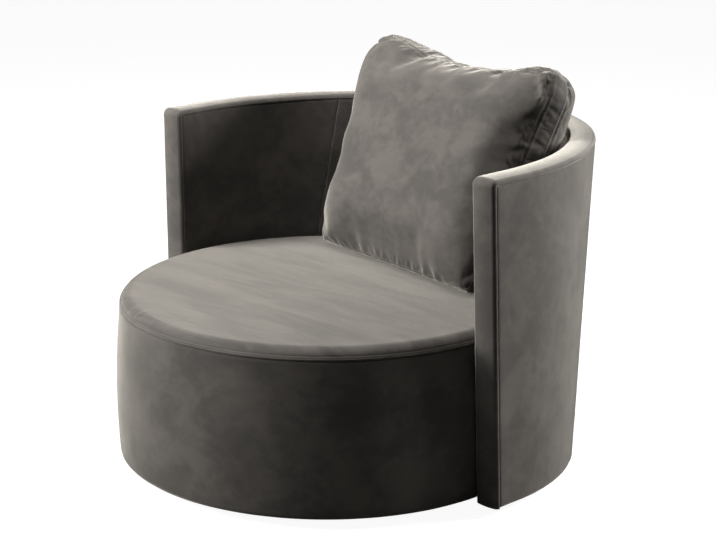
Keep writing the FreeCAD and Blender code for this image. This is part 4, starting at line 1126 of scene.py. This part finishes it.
class CHAIR_OT_under_cloths(bpy.types.Operator):
    """Make the thin black cloths stapled under the seat and under the wall"""
    bl_idname = "chair.under_cloths"
    bl_label = "Cloths underneath"

    def execute(self, context):
        seat = context.scene.chair_seat
        black = bpy.data.materials["spunbonded_cloth"]
        (left, _, low), (right, _, _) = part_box("dust_cover")
        radius = (right - left) / 2
        hole = max(abs(c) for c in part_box("swivel_upper_plate")[1][:2]) + 0.004
        bm = mapped_grid(180, 24, lambda about, out: self.drum_point(about, out, hole, radius, low))
        bmesh.ops.remove_doubles(bm, verts=bm.verts, dist=1e-5)
        cover = finish_piece("seat_dust_cloth", bm, black, "seat", ["dust_cover"])
        thicken(cover, 0.0006)
        start = 90 + ARM_TURN
        bm = mapped_grid(260, 10, lambda about, out: wall_point(
            start - 2 * start * about, seat.underside + 0.0001, 0.011 + 0.046 * out, 0.012))
        cloth = finish_piece("wall_under_cloth", bm, black, "seat", ["wall_base_cloth"])
        thicken(cloth, 0.0006)
        return {"FINISHED"}

    def drum_point(self, about, out, hole, radius, low):
        """A point of the seat's dust cloth: round its hole and outwards, sagging a little."""
        seat = bpy.context.scene.chair_seat
        turn = 2 * pi * about
        inner = Vector((hole * cos(turn), hole * sin(turn), 0))
        outer = Vector((radius * cos(turn), radius * sin(turn) + seat.middle_y, 0))
        point = inner.lerp(outer, out)
        point.z = low + 0.0002 - 0.0022 * sin(pi * out)
        return point


class CHAIR_OT_stage(bpy.types.Operator):
    """Set up the pale floor, the soft studio light and the camera"""
    bl_idname = "chair.stage"
    bl_label = "Stage"

    def execute(self, context):
        scene = context.scene
        studio, seat = scene.chair_studio, scene.chair_seat
        bm = bmesh.new()
        bmesh.ops.create_grid(bm, x_segments=1, y_segments=1, size=40)
        mesh = bpy.data.meshes.new("floor")
        bm.to_mesh(mesh)
        bm.free()
        floor = bpy.data.objects.new("floor", mesh)
        scene.collection.objects.link(floor)
        mesh.materials.append(self.paper())

        turn, lift = studio.azimuth, studio.elevation
        back = Vector((sin(turn) * cos(lift), -cos(turn) * cos(lift), sin(lift)))
        right = Vector((cos(turn), sin(turn), 0))
        up = back.cross(right)
        view = Matrix((right, up, back)).transposed().to_4x4()
        place = back * studio.distance + right * studio.across + up * studio.up
        place += Vector((0, seat.middle_y, seat.underside))
        lens = bpy.data.cameras.new("camera")
        lens.lens = studio.lens
        lens.sensor_width = 36
        camera = bpy.data.objects.new("camera", lens)
        camera.matrix_world = Matrix.Translation(place) @ view
        scene.collection.objects.link(camera)
        scene.camera = camera

        target = Vector((0, 0, 0.4))
        self.soft_light("key_light", right * -2.9 + back * 0.3 + Vector((0, 0, 1.5)), target, 1.3,
                        studio.key_power)
        self.soft_light("top_light", right * -0.7 - back * 0.2 + Vector((0, 0, 3.0)), target, 1.6,
                        studio.top_power)
        self.soft_light("side_light", right * 2.9 - back * 0.45 + Vector((0, 0, 1.9)), target, 1.2,
                        studio.side_power)
        self.surround(studio.sky)
        scene.view_settings.view_transform = "Standard"
        return {"FINISHED"}

    def paper(self):
        """White background paper, lit evenly from behind so that it stays white to the eye."""
        material, place = start_material("background_paper")
        cloud = add_node(material, "ShaderNodeTexNoise", None, {"Vector": place, "Scale": 3.0})
        tone = two_tone(material, cloud.outputs[0], 0.3, 0.7, linear("#6A6A68"), linear("#70706E"))
        path = add_node(material, "ShaderNodeLightPath")
        glow = add_node(material, "ShaderNodeMath", {"operation": "MULTIPLY"}, {
            0: path.outputs["Is Camera Ray"], 1: 0.94})
        shader = add_node(material, "ShaderNodeBsdfPrincipled", None, {
            "Base Color": tone, "Roughness": 0.9, "Emission Color": (1, 1, 1, 1),
            "Emission Strength": glow.outputs[0]})
        return end_material(material, shader)

    def soft_light(self, name, place, target, width, power):
        """A square softbox that faces a target."""
        light = bpy.data.lights.new(name, "AREA")
        light.size = width
        light.energy = power
        lamp = bpy.data.objects.new(name, light)
        lamp.location = place
        lamp.rotation_euler = (target - place).to_track_quat("-Z", "Y").to_euler()
        bpy.context.scene.collection.objects.link(lamp)

    def surround(self, strength):
        """A white room that is brighter to the eye than as a light."""
        world = bpy.data.worlds.new("studio")
        world.use_nodes = True
        world.node_tree.nodes.clear()
        bpy.context.scene.world = world
        path = add_node(world, "ShaderNodeLightPath")
        level = add_node(world, "ShaderNodeMapRange", None, {
            "Value": path.outputs["Is Camera Ray"], "To Min": strength, "To Max": 1.0})
        light = add_node(world, "ShaderNodeBackground", None, {
            "Color": (1, 1, 1, 1), "Strength": level.outputs[0]})
        add_node(world, "ShaderNodeOutputWorld", None, {"Surface": light.outputs[0]})


OPERATORS = (CHAIR_OT_cover_finishes, CHAIR_OT_frame_finishes, CHAIR_OT_seat, CHAIR_OT_wall,
             CHAIR_OT_border, CHAIR_OT_cushion, CHAIR_OT_under_cloths, CHAIR_OT_stage)


class CHAIR_PT_panel(bpy.types.Panel):
    """The chair's sizes and the operators that make it"""
    bl_idname = "CHAIR_PT_panel"
    bl_label = "Round cuddle chair"
    bl_space_type = "VIEW_3D"
    bl_region_type = "UI"
    bl_category = "Cuddle Chair"

    def draw(self, context):
        for name in GROUPS:
            group = getattr(context.scene, name)
            box = self.layout.box()
            for field in group.bl_rna.properties.keys():
                if field not in ("rna_type", "name"):
                    box.prop(group, field)
        for operator in OPERATORS:
            self.layout.operator(operator.bl_idname)


def register():
    """Add the sizes, the operators and the panel."""
    for group in GROUPS.values():
        bpy.utils.register_class(group)
    for name, group in GROUPS.items():
        setattr(bpy.types.Scene, name, PointerProperty(type=group))
    for operator in OPERATORS:
        bpy.utils.register_class(operator)
    bpy.utils.register_class(CHAIR_PT_panel)


def unregister():
    """Take the panel, the operators and the sizes out again."""
    bpy.utils.unregister_class(CHAIR_PT_panel)
    for operator in reversed(OPERATORS):
        bpy.utils.unregister_class(operator)
    for name in GROUPS:
        delattr(bpy.types.Scene, name)
    for group in reversed(list(GROUPS.values())):
        bpy.utils.unregister_class(group)


def main():
    """Build the chair and its stage."""
    register()
    for operator in OPERATORS:
        family, name = operator.bl_idname.split(".")
        getattr(getattr(bpy.ops, family), name)()


if __name__ == "__main__":
    main()
